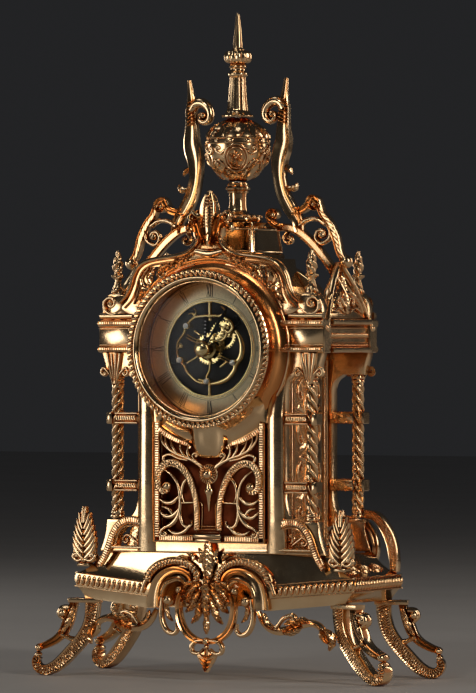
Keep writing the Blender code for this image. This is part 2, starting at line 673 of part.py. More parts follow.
SPOKES = [math.radians(a) for a in (90, 160, 215, 270, 325, 20)]
BRIDGE_R = 22.6
BRIDGE_WIDTH = 3.4
BAR_HALF = math.radians(3.4)
BAR_R = 29.0


def bridge_radius(angle):
    return BRIDGE_R + 1.3 * math.cos(6 * (angle - math.radians(60)))


def polar(radius, angle):
    return (radius * math.cos(angle), DIAL_Z + radius * math.sin(angle))


def bridge_outline():
    points = []
    for i in range(36):
        angle = 2 * math.pi * i / 36
        if i in (9, 27):
            points += [polar(bridge_radius(angle), angle - BAR_HALF), polar(BAR_R, angle - BAR_HALF * 0.7),
                       polar(BAR_R, angle + BAR_HALF * 0.7), polar(bridge_radius(angle), angle + BAR_HALF)]
        else:
            points.append(polar(bridge_radius(angle), angle))
    return points


def bridge_opening(start, end):
    inner_r = 6.0
    inner_inset = 0.20
    outer_inset = 0.06
    steps = max(3, int((end - start) / 0.22))
    outer = [start + outer_inset + (end - start - 2 * outer_inset) * i / steps for i in range(steps + 1)]
    points = [polar(bridge_radius(a) - BRIDGE_WIDTH, a) for a in outer]
    points += [polar(inner_r, end - inner_inset), polar(inner_r, (start + end) / 2), polar(inner_r,
            start + inner_inset)]
    return points


def make_bridge(materials):
    angles = sorted(SPOKES)
    openings = [bridge_opening(a, b) for a, b in zip(angles, angles[1:] + [angles[0] + 2 * math.pi])]
    hub = circle((0, DIAL_Z), 3.3, 16)
    bridge = plate("skeleton_bridge", [bridge_outline(), hub] + openings, (-43.4, -42.2), materials["brass"])
    holes = []
    lugs = []
    for i, (x, z) in enumerate(SCREW_SPOTS):
        lugs.append(cylinder(f"bridge_lug_{i}", 2.6, (x, -43.4, z), 1.2, "Y", sides=10))
        holes.append(cylinder(f"bridge_hole_{i}", 1.2, (x, -46, z), 6, "Y", sides=8))
    join(bridge, lugs)
    cut(bridge, holes)
    for i, (x, z) in enumerate(SCREW_SPOTS):
        profile = [(0, -44.8), (1.9, -44.5), (1.9, -43.7), (0.9, -43.7), (0.9, -41.9), (1.9, -41.9),
                   (1.9, -36.5), (0.9, -36.5), (0.9, -34.95), (0, -34.95)]
        turned(f"bridge_screw_{i + 1}", profile, (x, 0, z), "Y", materials["brass"], 8)


# ---------------------------------------------------------------- clockwork
def gear_outline(spot, teeth, module, phase, slack=0.80):
    """Involute teeth, 20 degree pressure angle, with a little backlash."""
    pressure = math.radians(20)
    pitch = teeth * module / 2
    base = pitch * math.cos(pressure)
    root = pitch - 1.2 * module
    tip = pitch + 0.75 * module
    involute_at_pitch = math.tan(pressure) - pressure

    def half_angle(radius):
        if radius <= base:
            roll = 0.0
        else:
            roll = math.acos(base / radius)
        spread = math.tan(roll) - roll
        return slack * math.pi / (2 * teeth) + involute_at_pitch - spread

    flank = [(root, half_angle(base)), (tip, half_angle(tip))]
    if teeth < 12:
        flank.insert(1, (pitch, half_angle(pitch)))
    points = []
    for i in range(teeth):
        centre = phase + 2 * math.pi * i / teeth
        points += [(radius, centre - half) for radius, half in flank]
        points += [(radius, centre + half) for radius, half in reversed(flank)]
    return [(spot[0] + r * math.cos(a), spot[1] + r * math.sin(a)) for r, a in points]


def meshing_phase(direction, teeth):
    """Phase of a follower whose centre lies at direction from a wheel with a tooth pointing there."""
    return direction + math.pi + math.pi / teeth


def spoke_holes(spot, inner, outer, count):
    loops = []
    for i in range(count):
        start = 2 * math.pi * i / count + 0.2
        end = 2 * math.pi * (i + 1) / count - 0.2
        outer_points = [(outer, start + (end - start) * k / 4) for k in range(5)]
        inner_points = [(inner, end - 0.12), (inner, start + 0.12)]
        loops.append([(spot[0] + r * math.cos(a), spot[1] + r * math.sin(a)) for r,
                      a in outer_points + inner_points])
    return loops


def make_motion_work(materials):
    brass = materials["brass"]
    centre = (0, DIAL_Z)
    cannon = plate("cannon_pinion", [gear_outline(centre, 10, MODULE, TRAIN_ANGLE)], WHEEL_PLANE_A, brass)
    join(cannon, [cylinder("cannon_tube", 1.6, (0, -49.0, DIAL_Z), 12.0, "Y", sides=16)])
    cut(cannon, [cylinder("cannon_bore", 1.1, (0, -52, DIAL_Z), 18, "Y", sides=16)])
    place(cannon, (0, 0, DIAL_Z))

    x, z = MINUTE_WHEEL_SPOT
    wheel_loops = [gear_outline((x, z), 30, MODULE, meshing_phase(TRAIN_ANGLE, 30))]
    wheel_loops += spoke_holes((x, z), 3.4, 7.2, 4)
    wheel = plate("minute_wheel", wheel_loops, WHEEL_PLANE_A, brass)
    pinion = plate("minute_wheel_pinion", [gear_outline((x, z), 8, MODULE, TRAIN_ANGLE + math.pi)],
                   (WHEEL_PLANE_B[0], WHEEL_PLANE_A[0] + 0.2))
    arbor = cylinder("minute_wheel_arbor", 0.7, (x, -41.6, z), 7.4, "Y", sides=10)
    join(wheel, [pinion, arbor])
    place(wheel, (x, 0, z))

    hour_phase = TRAIN_ANGLE + math.pi / 32
    hour_loops = [gear_outline(centre, 32, MODULE, hour_phase)] + spoke_holes(centre, 3.9, 7.6, 5)
    hour = plate("hour_wheel", hour_loops, WHEEL_PLANE_B, brass)
    join(hour, [cylinder("hour_pipe", 2.8, (0, -46.8, DIAL_Z), 8.2, "Y", sides=20)])
    cut(hour, [cylinder("hour_pipe_bore", 1.9, (0, -50, DIAL_Z), 16, "Y", sides=20)])
    place(hour, (0, 0, DIAL_Z))


def make_drive(materials):
    brass = materials["brass"]
    centre = (0, DIAL_Z)
    wheel = plate("centre_wheel", [gear_outline(centre, 40, DRIVE_MODULE, math.pi)] + spoke_holes(centre,
            3, 7.6, 4),
                  DRIVE_PLANE, brass)
    join(wheel, [cylinder("centre_arbor", 0.8, (0, -50.0, DIAL_Z), 26.0, "Y", sides=12)])
    place(wheel, (0, 0, DIAL_Z))

    x, z = THIRD_SPOT
    pinion = plate("third_wheel", [gear_outline((x, z), 8, DRIVE_MODULE, meshing_phase(math.pi, 8))],
                   (DRIVE_PLANE[0], -29.0), brass)
    rim = plate("third_wheel_rim", [gear_outline((x, z), 30, DRIVE_MODULE, 0)], (-29.6, -28.6))
    arbor = cylinder("third_wheel_arbor", 0.7, (x, -34.5, z), 10.0, "Y", sides=10)
    join(pinion, [rim, arbor])
    place(pinion, (x, 0, z))

    x, z = ROTOR_SPOT
    rotor = cylinder("rotor", 2.4, (x, -29.6, z), 3.4, "Y", materials["steel"], sides=16)
    join(rotor, [cylinder("rotor_arbor", 0.5, (x, -30.6, z), 6.0, "Y", sides=10)])
    place(rotor, (x, 0, z))
    coil = box("drive_coil", (5, -29.6, DIAL_Z + 13.2), (22, -25, DIAL_Z + 19), materials["brass"])
    cut(coil, [cylinder("coil_shaft_gap", 1.8, (SETTING_SPOT[0], -40, SETTING_SPOT[1]), 30, "Y", sides=12)])


CASE_HALF_X = 28.0
HOLLOW_BACK_Y = -23.6
BAY_Z = (DIAL_Z - 27.6, DIAL_Z - 11.4)


def make_case(materials):
    case = box("movement_case", (-CASE_HALF_X, -34.6, DIAL_Z - 12), (CASE_HALF_X, -22.0, DIAL_Z + 28),
               materials["plastic"])
    lower = box("case_battery_box", (-CASE_HALF_X, -34.6, BAY_Z[0] - 1.6), (CASE_HALF_X, -12.6, DIAL_Z - 9.8))
    hollow = box("case_hollow", (-26.2, -40, DIAL_Z - 9.6 + 1.4), (26.2, HOLLOW_BACK_Y, DIAL_Z + 26.2))
    wheel_room = cylinder("case_wheel_room", 13.2, (0, -40, DIAL_Z), 9.6, "Y", sides=28)
    bay = box("case_bay", (-26, -29.6, BAY_Z[0]), (26, 0, BAY_Z[1]))
    shaft = cylinder("case_shaft_hole", 1.6, (SETTING_SPOT[0], -30, SETTING_SPOT[1]), 20, "Y", sides=12)
    join(case, [lower])
    cut(case, [hollow, wheel_room, bay, shaft])


def make_battery(materials):
    z = (BAY_Z[0] + BAY_Z[1]) / 2
    battery = cylinder("battery", 7.1, (-25, -21.6, z), 48.6, "X", materials["steel"], sides=24)
    join(battery, [cylinder("battery_tip", 2.6, (23, -21.6, z), 2.2, "X", sides=12)])
    cover = box("battery_cover", (-27, -12.2, BAY_Z[0] - 1.4), (27, -10.9, BAY_Z[1] + 1.4),
                materials["plastic"])
    ribs = [box(f"cover_rib_{i}", (-8, -11.2, z - 3 + 2 * i), (8, -10.2, z - 2.2 + 2 * i)) for i in range(3)]
    join(cover, ribs)


def knurled(spot, radius, count):
    points = []
    for i in range(count):
        for k, depth in enumerate((0, 0, 0.5, 0.5)):
            angle = 2 * math.pi * (i + k / 4) / count
            points.append((spot[0] + (radius - depth) * math.cos(angle),
                           spot[1] + (radius - depth) * math.sin(angle)))
    return points


def make_setting_knob(materials):
    x, z = SETTING_SPOT
    knob = plate("setting_knob", [knurled((x, z), 6.6, 10)], (-20.4, -14.8), materials["plastic"])
    pinion = plate("setting_pinion", [gear_outline((x, z), 10, MODULE, TRAIN_ANGLE + math.pi)], WHEEL_PLANE_A)
    shaft = cylinder("setting_shaft", 1.1, (x, -37.8, z), 20, "Y", sides=12)
    join(knob, [pinion, shaft])
    place(knob, (x, 0, z))


# ---------------------------------------------------------------- hands
def hand_outline(length, width, tail):
    """A slim hand that points along +Z from the dial centre, before it is turned."""
    hub = arc((0, 0), 3.9, 70, -250, 15)
    neck = width * 0.5
    tip = [(-neck, length * 0.35), (-width, length * 0.62), (-0.25, length), (0.25, length), (width,
            length * 0.62),
           (neck, length * 0.35)]
    return hub + tip if tail == 0 else hub[:7] + [(0.9, -tail), (-0.9, -tail)] + hub[8:] + tip


def turned_outline(points, angle):
    """Turn clockwise as seen from the front and move to the dial centre."""
    cosine, sine = math.cos(angle), math.sin(angle)
    return [(x * cosine + z * sine, DIAL_Z - x * sine + z * cosine) for x, z in points]


def make_hands(materials):
    for name, length, width, tail, angle, span, bore in (
            ("hour_hand", 20.5, 1.5, 0, HOUR_ANGLE, (-46.7, -46.0), 3.1),
            ("minute_hand", 31.5, 1.1, 8, MINUTE_ANGLE, (-48.7, -48.0), 1.9)):
        loops = [turned_outline(hand_outline(length, width, tail), angle), circle((0, DIAL_Z), bore, 14)]
        place(plate(name, loops, span, materials["black"]), (0, 0, DIAL_Z))
    dome = [(0, -53.4), (2.6, -53.0), (4.6, -51.8), (5.4, -50.2), (4.6, -49.3), (1.3, -49.3), (1.3, -50.4),
            (0, -50.4)]
    turned("hand_nut", dome, (0, 0, DIAL_Z), "Y", materials["brass"], 20)


# ---------------------------------------------------------------- rear door
def make_door(materials):
    back = OVERALL_HALF_Y
    profile = [(0, back), (3.2, back), (5.0, back - 1.6), (5.0, back - 3.6), (2.6, back - 5.6), (3.4,
            50.6), (20, 49.2),
               (34, 45.6), (42, 41.6), (DOOR_R, 41.0), (DOOR_R, 38.0), (41.4, 38.0), (33, 43.0), (19.4,
                       47.2), (0, 48.8)]
    door = turned("rear_door", profile, (0, 0, DIAL_Z), "Y", materials["gilt"], 24)
    middle = (HINGE_KNUCKLES[0] + 8.4, HINGE_KNUCKLES[1] - 0.4)
    knuckle = cylinder("door_knuckle", 2.0, (HINGE_X, HINGE_Y, middle[0]), middle[1] - middle[0], "Z",
                       sides=12)
    leaf = box("door_leaf", (HINGE_X, HINGE_Y - 1.6, middle[0]), (-43.4, HINGE_Y - 0.6, middle[1]))
    bore = cylinder("door_pin_bore", 1.0, (HINGE_X, HINGE_Y, DIAL_Z - 20), 40, "Z", sides=12)
    join(door, [knuckle, leaf])
    cut(door, [bore])
    low = HINGE_KNUCKLES[0] - 0.6
    cylinder("door_hinge_pin", 0.7, (HINGE_X, HINGE_Y, low), HINGE_KNUCKLES[1] + 8.6 - low, "Z",
             materials["steel"], 12)


def main():
    global parts, cutters
    clear_scene()
    parts = make_collection(CLOCK)
    cutters = make_collection("cutters")
    materials = make_materials()
    for make in (make_base, make_feet, make_apron, make_leaf_finials, make_front_frame, make_rear_frame,
                 make_columns, make_pinnacles, make_sides, make_grille, make_crest, make_roof, make_pedestal,
                 make_finial, make_brackets, make_drum, make_bezel, make_glass, make_dial, make_bridge,
                 make_motion_work, make_drive, make_case, make_battery, make_setting_knob, make_hands,
                 make_door):
        make(materials)


main()
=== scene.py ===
"""Looks of the gilt skeleton mantel clock: cast ornament, dial, glass, materials, light and camera.

Ornament is drawn in millimetres in a flat local frame (u to the right, v up, h out of the surface)
and then set on the clock by a matrix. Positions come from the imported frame.
"""
import json
import math

import bmesh
import bpy
import numpy as np
from mathutils import Matrix, Vector


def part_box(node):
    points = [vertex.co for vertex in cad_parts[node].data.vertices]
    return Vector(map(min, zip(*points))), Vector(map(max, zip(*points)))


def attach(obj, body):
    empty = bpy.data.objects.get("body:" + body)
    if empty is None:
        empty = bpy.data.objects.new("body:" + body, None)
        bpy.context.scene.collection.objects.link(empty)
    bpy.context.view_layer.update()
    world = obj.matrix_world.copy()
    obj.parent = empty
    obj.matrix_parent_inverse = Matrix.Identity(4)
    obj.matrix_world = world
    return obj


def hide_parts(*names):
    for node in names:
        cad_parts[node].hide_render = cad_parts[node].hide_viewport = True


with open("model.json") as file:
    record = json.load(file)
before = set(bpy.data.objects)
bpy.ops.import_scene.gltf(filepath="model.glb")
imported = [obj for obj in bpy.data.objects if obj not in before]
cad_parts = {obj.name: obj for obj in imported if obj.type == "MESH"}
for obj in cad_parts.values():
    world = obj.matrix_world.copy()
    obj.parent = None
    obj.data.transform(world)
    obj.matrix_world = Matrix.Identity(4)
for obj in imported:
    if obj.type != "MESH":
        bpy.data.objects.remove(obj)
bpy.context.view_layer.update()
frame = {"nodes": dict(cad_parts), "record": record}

MM = 0.001


def span(node, axis):
    """Lowest and highest coordinate of a CAD node, in millimetres."""
    low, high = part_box(node)
    return low[axis] / MM, high[axis] / MM


# ---------------------------------------------------------------- materials
class Nodes:
    """A Principled material and short ways to add nodes to it."""

    def __init__(self, name):
        self.material = bpy.data.materials.new(name)
        self.material.use_nodes = True
        self.tree = self.material.node_tree
        self.shader = self.tree.nodes["Principled BSDF"]

    def set(self, **values):
        for key, value in values.items():
            self.shader.inputs[key.replace("_", " ")].default_value = value

    def add(self, kind, **settings):
        node = self.tree.nodes.new(kind)
        for key, value in settings.items():
            setattr(node, key, value)
        return node

    def link(self, source, target):
        self.tree.links.new(source, target)

    def noise(self, scale, detail=3.0):
        coordinates = self.add("ShaderNodeTexCoord")
        node = self.add("ShaderNodeTexNoise")
        node.inputs["Scale"].default_value = scale
        node.inputs["Detail"].default_value = detail
        self.link(coordinates.outputs["Object"], node.inputs["Vector"])
        return node.outputs["Fac"]

    def ramp(self, factor, stops):
        node = self.add("ShaderNodeValToRGB")
        elements = node.color_ramp.elements
        while len(elements) < len(stops):
            elements.new(0.5)
        for element, (position, colour) in zip(elements, stops):
            element.position = position
            element.color = (*colour, 1.0)
        self.link(factor, node.inputs["Fac"])
        return node.outputs["Color"]

    def mix(self, factor, first, second, mode="MIX"):
        node = self.add("ShaderNodeMix", data_type="RGBA", blend_type=mode)
        for socket, value in ((node.inputs[0], factor), (node.inputs[6], first), (node.inputs[7], second)):
            if isinstance(value, (int, float)):
                socket.default_value = value
            else:
                self.link(value, socket)
        return node.outputs[2]

    def spread(self, factor, low, high):
        node = self.add("ShaderNodeMapRange")
        node.inputs["To Min"].default_value = low
        node.inputs["To Max"].default_value = high
        self.link(factor, node.inputs["Value"])
        return node.outputs["Result"]

    def bump(self, height, strength, distance):
        node = self.add("ShaderNodeBump")
        node.inputs["Strength"].default_value = strength
        node.inputs["Distance"].default_value = distance
        self.link(height, node.inputs["Height"])
        self.link(node.outputs["Normal"], self.shader.inputs["Normal"])


FAINT_GLASS = 1.11


def cast_metal(name, shade_colour, warm, bright, roughness, reach=4.0):
    """Polished casting with painted shade: an ambient-occlusion ramp paints the recesses darker and redder
    and leaves the high parts bright.
    """
    n = Nodes(name)
    n.set(Metallic=1.0)
    # Painted shade and interreflection: the colour turns dark red where occlusion is high.
    painted_shade_ao = n.add("ShaderNodeAmbientOcclusion", samples=6)
    painted_shade_ao.inputs["Distance"].default_value = reach * MM
    shaded_tone = n.ramp(painted_shade_ao.outputs["AO"], [(0.12, shade_colour), (0.55, warm), (0.95, bright)])
    patches = n.ramp(n.noise(60.0), [(0.35, (0.90, 0.84, 0.80)), (0.65, (1.0, 1.0, 1.0))])
    n.link(n.mix(1.0, shaded_tone, patches, "MULTIPLY"), n.shader.inputs["Base Color"])
    n.link(n.spread(n.noise(220.0), roughness * 0.75, roughness * 1.35), n.shader.inputs["Roughness"])
    n.bump(n.noise(900.0, 2.0), 0.12, 0.0002)
    return n.material


def plain_metal(name, colour, roughness, grain=400.0):
    """Machined metal with a fine, even grain."""
    n = Nodes(name)
    n.set(Metallic=1.0)
    worn = tuple(c * 0.8 for c in colour)
    n.link(n.ramp(n.noise(grain), [(0.3, worn), (0.7, colour)]), n.shader.inputs["Base Color"])
    n.link(n.spread(n.noise(grain * 2), roughness * 0.8, roughness * 1.3), n.shader.inputs["Roughness"])
    return n.material


def moulded(name, colour, roughness, grain=900.0):
    """Lacquer or plastic with a faint texture."""
    n = Nodes(name)
    lighter = tuple(min(1.0, c * 1.5 + 0.004) for c in colour)
    n.link(n.ramp(n.noise(grain), [(0.3, colour), (0.7, lighter)]), n.shader.inputs["Base Color"])
    n.set(Roughness=roughness)
    n.bump(n.noise(grain * 2), 0.15, 0.0002)
    return n.material


def make_glass():
    """Clear glass that hardly mirrors the lights, so the movement stays visible behind it."""
    n = Nodes("glass")
    n.set(Roughness=0.0, IOR=FAINT_GLASS, Transmission_Weight=1.0)
    tint = n.ramp(n.noise(20.0), [(0.0, (0.93, 0.96, 0.98)), (1.0, (0.97, 0.98, 0.99))])
    n.link(tint, n.shader.inputs["Base Color"])
    return n.material


GILT = cast_metal("gilt", (0.30, 0.055, 0.012), (0.80, 0.40, 0.14), (1.0, 0.72, 0.42), 0.17)
GILT_SMOOTH = cast_metal("gilt_smooth", (0.30, 0.07, 0.018), (0.85, 0.48, 0.20), (1.0, 0.74, 0.44), 0.10)
# Redder copy of the gilt: painted warm interreflection for the drum, with painted shade in its recesses.
GILT_INTERREFLECTION = cast_metal("gilt_red", (0.28, 0.045, 0.010), (0.72, 0.24, 0.06), (0.92, 0.42, 0.15), 0.20)
# Near-black gilt used as painted shade on the plate behind the grille.
SHADE_SHEET = cast_metal("recess", (0.05, 0.008, 0.003), (0.12, 0.025, 0.009), (0.20, 0.045, 0.016), 0.5)
BRASS = plain_metal("brass", (0.86, 0.66, 0.30), 0.22)
STEEL = plain_metal("steel", (0.62, 0.61, 0.60), 0.28)
COPPER = plain_metal("copper", (0.80, 0.34, 0.18), 0.35, 1500.0)
CHAMPAGNE = plain_metal("champagne", (0.86, 0.73, 0.46), 0.34, 900.0)
BLACK = moulded("black_lacquer", (0.006, 0.006, 0.006), 0.62)
PLASTIC = moulded("black_plastic", (0.02, 0.02, 0.02), 0.5)
GLASS = make_glass()

SLOT_FINISH = {"gilt": GILT, "brass": BRASS, "dial": CHAMPAGNE, "glass": GLASS, "black": BLACK,
               "plastic": PLASTIC, "copper_coil": COPPER, "steel": STEEL}


# ---------------------------------------------------------------- mesh helpers
def front(y):
    """Local frame of a face that looks towards -Y."""
    return Matrix(((1, 0, 0, 0), (0, 0, -1, y), (0, 1, 0, 0), (0, 0, 0, 1)))


def standing(x=0.0, y=0.0, z=0.0):
    """Local frame whose v axis is upright and whose h axis looks towards +Y."""
    return Matrix(((1, 0, 0, x), (0, 0, 1, y), (0, 1, 0, z), (0, 0, 0, 1)))


def side(sign, x):
    """Local frame of a face that looks towards +X or -X."""
    return Matrix(((0, 0, sign, sign * x), (1, 0, 0, 0), (0, 1, 0, 0), (0, 0, 0, 1)))


def smooth_path(points, step=1.0, closed=False):
    """Catmull-Rom curve through the points, cut into pieces about one step long."""
    p = np.asarray(points, float)
    if closed:
        p = np.vstack([p[-1:], p, p[:2]])
    else:
        p = np.vstack([2 * p[0] - p[1], p, 2 * p[-1] - p[-2]])
    out = []
    for a, b, c, d in zip(p, p[1:], p[2:], p[3:]):
        count = max(2, int(np.linalg.norm(c - b) / step))
        t = (np.arange(count) / count)[:, None]
        out.append(0.5 * (2 * b + (c - a) * t + (2 * a - 5 * b + 4 * c - d) * t ** 2
                          + (3 * b - a - 3 * c + d) * t ** 3))
    if not closed:
        out.append(p[-2][None, :])
    return np.vstack(out)


def arc(centre, radius, start_deg, end_deg, step_deg=6.0):
    count = max(3, int(abs(end_deg - start_deg) / step_deg) + 1)
    angles = np.radians(np.linspace(start_deg, end_deg, count))
    return [(centre[0] + radius * math.cos(a), centre[1] + radius * math.sin(a)) for a in angles]


def volute(start, centre, turn_deg, shrink=0.25):
    """Spiral that leaves start and winds about centre; positive turns go anticlockwise."""
    dx, dy = start[0] - centre[0], start[1] - centre[1]
    first = math.atan2(dy, dx)
    radius = math.hypot(dx, dy)
    count = max(4, int(abs(turn_deg) / 30))
    out = []
    for i in range(1, count + 1):
        t = i / count
        r = radius * (1 - (1 - shrink) * t)
        a = first + math.radians(turn_deg) * t
        out.append((centre[0] + r * math.cos(a), centre[1] + r * math.sin(a)))
    return out


def same(points):
    return list(points)


def flip(points):
    """Mirror image of the points; half a symmetrical ornament is drawn with same, half with flip."""
    return [(-x, y) for x, y in points]


def mirror_turn(f, degrees):
    """Turn of a volute, reversed when f mirrors."""
    return -degrees if f is flip else degrees


# Cross-sections of a strap: (share of the half width, share of the height)
ROUND = [(-1, 0), (-0.92, 0.42), (-0.68, 0.76), (-0.36, 0.94), (0, 1), (0.36, 0.94), (0.68, 0.76),
         (0.92, 0.42), (1, 0)]
CHANNEL = [(-1, 0), (-1, 0.7), (-0.86, 1), (-0.68, 0.86), (-0.56, 0.5), (-0.28, 0.5), (0, 0.5), (0.28, 0.5),
           (0.56, 0.5), (0.68, 0.86), (0.86, 1), (1, 0.7), (1, 0)]
COVE = [(-1, 0), (-1, 0.8), (-0.88, 1), (-0.7, 0.84), (-0.4, 0.5), (0, 0.36), (0.4, 0.5), (0.7, 0.84),
        (0.88, 1), (1, 0.8), (1, 0)]
RIDGE = [(-1, 0), (-0.94, 0.3), (-0.5, 0.46), (-0.2, 0.7), (0, 1), (0.2, 0.7), (0.5, 0.46), (0.94, 0.3),
         (1, 0)]


HATCHED = {"ribs": (1.55, 0.8, 0.0), "step": 0.26}


class Relief:
    """Closed shells collected in a local frame, in millimetres, for one cast piece."""

    def __init__(self):
        self.points = []
        self.faces = []

    def grid(self, rows, ring=True, loop=False, caps=True):
        """Skin rows of points; ring closes each row, loop joins the last row to the first."""
        rows = np.asarray(rows, float)
        count, width = rows.shape[:2]
        start = len(self.points)
        self.points.extend(map(tuple, rows.reshape(-1, 3)))
        for i in range(count if loop else count - 1):
            k = (i + 1) % count
            for j in range(width if ring else width - 1):
                m = (j + 1) % width
                self.faces.append((start + i * width + j, start + i * width + m,
                                   start + k * width + m, start + k * width + j))
        if caps and not loop:
            self.faces.append(tuple(range(start, start + width)))
            last = start + (count - 1) * width
            self.faces.append(tuple(range(last, last + width)))

    def strap(self, path, half_width, section=ROUND, height=2.0, base=0.0, back=None, closed=False,
              ribs=None, step=1.0, smoothed=True):
        """Sweep a section along a flat path. half_width and height are one value or values spread along it.

        back is None for a flat underside, or a depth to which the section is mirrored behind.
        ribs is (pitch, depth, slant) of the hatching laid across the middle of the section.
        """
        line = smooth_path(path, step, closed) if smoothed else np.asarray(path, float)
        count = len(line)
        if closed:
            tangent = np.roll(line, -1, 0) - np.roll(line, 1, 0)
        else:
            tangent = np.gradient(line, axis=0)
        tangent /= np.maximum(np.linalg.norm(tangent, axis=1), 1e-9)[:, None]
        normal = np.stack([-tangent[:, 1], tangent[:, 0]], 1)
        along = np.concatenate([[0], np.cumsum(np.linalg.norm(np.diff(line, axis=0), axis=1))])
        share = np.linspace(0, 1, count)
        widths = np.interp(share, np.linspace(0, 1, np.size(half_width)), np.ravel(half_width))
        heights = np.interp(share, np.linspace(0, 1, np.size(height)), np.ravel(height))
        s = np.array([p[0] for p in section])
        h = np.array([p[1] for p in section])
        u = line[:, 0, None] + normal[:, 0, None] * s * widths[:, None]
        v = line[:, 1, None] + normal[:, 1, None] * s * widths[:, None]
        w = base + h * heights[:, None]
        if ribs:
            pitch, depth, slant = ribs
            phase = (along[:, None] + slant * s * widths[:, None]) / pitch
            wave = np.minimum(1.0, 2.3 * (1 - np.abs(2 * (phase % 1) - 1)))
            w = w + np.where(np.abs(s) < 0.6, depth * wave, 0)
        rows = np.stack([u, v, w], 2)
        if back is None:
            under = rows[:, [-1, 0]].copy()
            under[:, :, 2] = base - 0.6
        else:
            under = rows[:, ::-1].copy()
            under[:, :, 2] = 2 * base - back - under[:, :, 2]
        self.grid(np.concatenate([rows, under], 1), loop=closed)
        return line

    def ball(self, centre, radius, height=None, base=0.0, sides=12, rings=5, whole=False):
        """A dome on the surface, or a whole ball."""
        height = radius if height is None else height
        low = -90 if whole else -20
        rows = []
        for latitude in np.radians(np.linspace(low + 4, 86, rings + (3 if whole else 0))):
            angles = np.linspace(0, 2 * math.pi, sides, endpoint=False)
            rows.append(np.stack([centre[0] + radius * math.cos(latitude) * np.cos(angles),
                                  centre[1] + radius * math.cos(latitude) * np.sin(angles),
                                  np.full(sides, base + height * math.sin(latitude))], 1))
        self.grid(rows)

    def scroll(self, points, half_width, start=None, end=None, ball=0.0, **strap):
        """A strap whose ends may wind into volutes; start and end are (centre, turn in degrees)."""
        path = list(points)
        if end:
            path += volute(path[-1], *end)
        if start:
            path = list(reversed(volute(path[0], *start))) + path
        self.strap(path, half_width, **strap)
        top = strap.get("base", 0.0)
        if ball:
            for tip in (start, end):
                if tip:
                    self.ball(tip[0], ball, ball * 1.1, top + 0.4 * np.max(strap.get("height", 2.0)))
                    if strap.get("back") is not None:
                        self.ball(tip[0], ball, -ball * 1.1, top - strap["back"])

    def leaf(self, spine, width, lobes=5, height=2.2, base=0.0, depth=0.5, curl=0.0, tip=0.06, back=None):
        """An acanthus leaf along a spine: lobed edges, a raised rib and slanting veins."""
        line = smooth_path(spine, 0.7)
        count = len(line)
        t = np.linspace(0, 1, count)
        tangent = np.gradient(line, axis=0)
        tangent /= np.maximum(np.linalg.norm(tangent, axis=1), 1e-9)[:, None]
        normal = np.stack([-tangent[:, 1], tangent[:, 0]], 1)
        body = np.sin(np.pi * np.clip(t * 0.86 + 0.12, 0, 1)) ** 0.7
        notch = 1 - 0.30 * ((t * lobes) % 1.0)
        half = np.maximum(width * body * notch, width * tip)
        s = np.linspace(-1, 1, 9)
        lean = 0.22 * np.abs(s) * width
        u = line[:, 0, None] + normal[:, 0, None] * s * half[:, None] + tangent[:, 0, None] * lean
        v = line[:, 1, None] + normal[:, 1, None] * s * half[:, None] + tangent[:, 1, None] * lean
        crown = (1 - 0.55 * np.abs(s) ** 1.6)
        rib = np.where(np.abs(s) < 0.1, 0.28, 0.0)
        vein = 1 - 2 * np.abs((t[:, None] * lobes * 2 - np.abs(s) * 1.2) % 1 - 0.5) * 2
        w = base + height * (crown + rib) * (0.55 + 0.45 * body[:, None]) + curl * t[:, None] ** 2
        w += depth * vein * (np.abs(s) > 0.15)
        rows = np.stack([u, v, w], 2)
        if back is None:
            under = rows[:, [-1, 0]].copy()
            under[:, :, 2] = base - 0.6
        else:
            under = rows[:, ::-1].copy()
            under[:, :, 2] = 2 * base - back - under[:, :, 2]
        self.grid(np.concatenate([rows, under], 1))

    def beads(self, path, radius, spacing, height=None, base=0.0, stretch=1.0, slant=0.0, closed=False,
              sides=8):
        """A row of domes along a path; stretch and slant (degrees) turn them into rope strands."""
        line = smooth_path(path, 0.5, closed)
        if closed:
            line = np.vstack([line, line[:1]])
        along = np.concatenate([[0], np.cumsum(np.linalg.norm(np.diff(line, axis=0), axis=1))])
        count = max(1, round(along[-1] / spacing))
        stops = (np.arange(count) + 0.5) * along[-1] / count
        height = radius if height is None else height
        angles = np.linspace(0, 2 * math.pi, sides, endpoint=False)
        for stop in stops:
            x = np.interp(stop, along, line[:, 0])
            y = np.interp(stop, along, line[:, 1])
            ahead = np.array([np.interp(stop + 0.4, along, line[:, 0]) - np.interp(stop - 0.4, along,
                    line[:, 0]),
                              np.interp(stop + 0.4, along, line[:, 1]) - np.interp(stop - 0.4, along,
                                      line[:, 1])])
            turn = math.atan2(ahead[1], ahead[0]) + math.radians(90 + slant)
            rows = []
            for latitude in np.radians((-8, 28, 58, 84)):
                a = radius * stretch * math.cos(latitude) * np.cos(angles)
                b = radius * math.cos(latitude) * np.sin(angles)
                rows.append(np.stack([x + a * math.cos(turn) - b * math.sin(turn),
                                      y + a * math.sin(turn) + b * math.cos(turn),
                                      np.full(sides, base + height * math.sin(latitude))], 1))
            self.grid(rows)

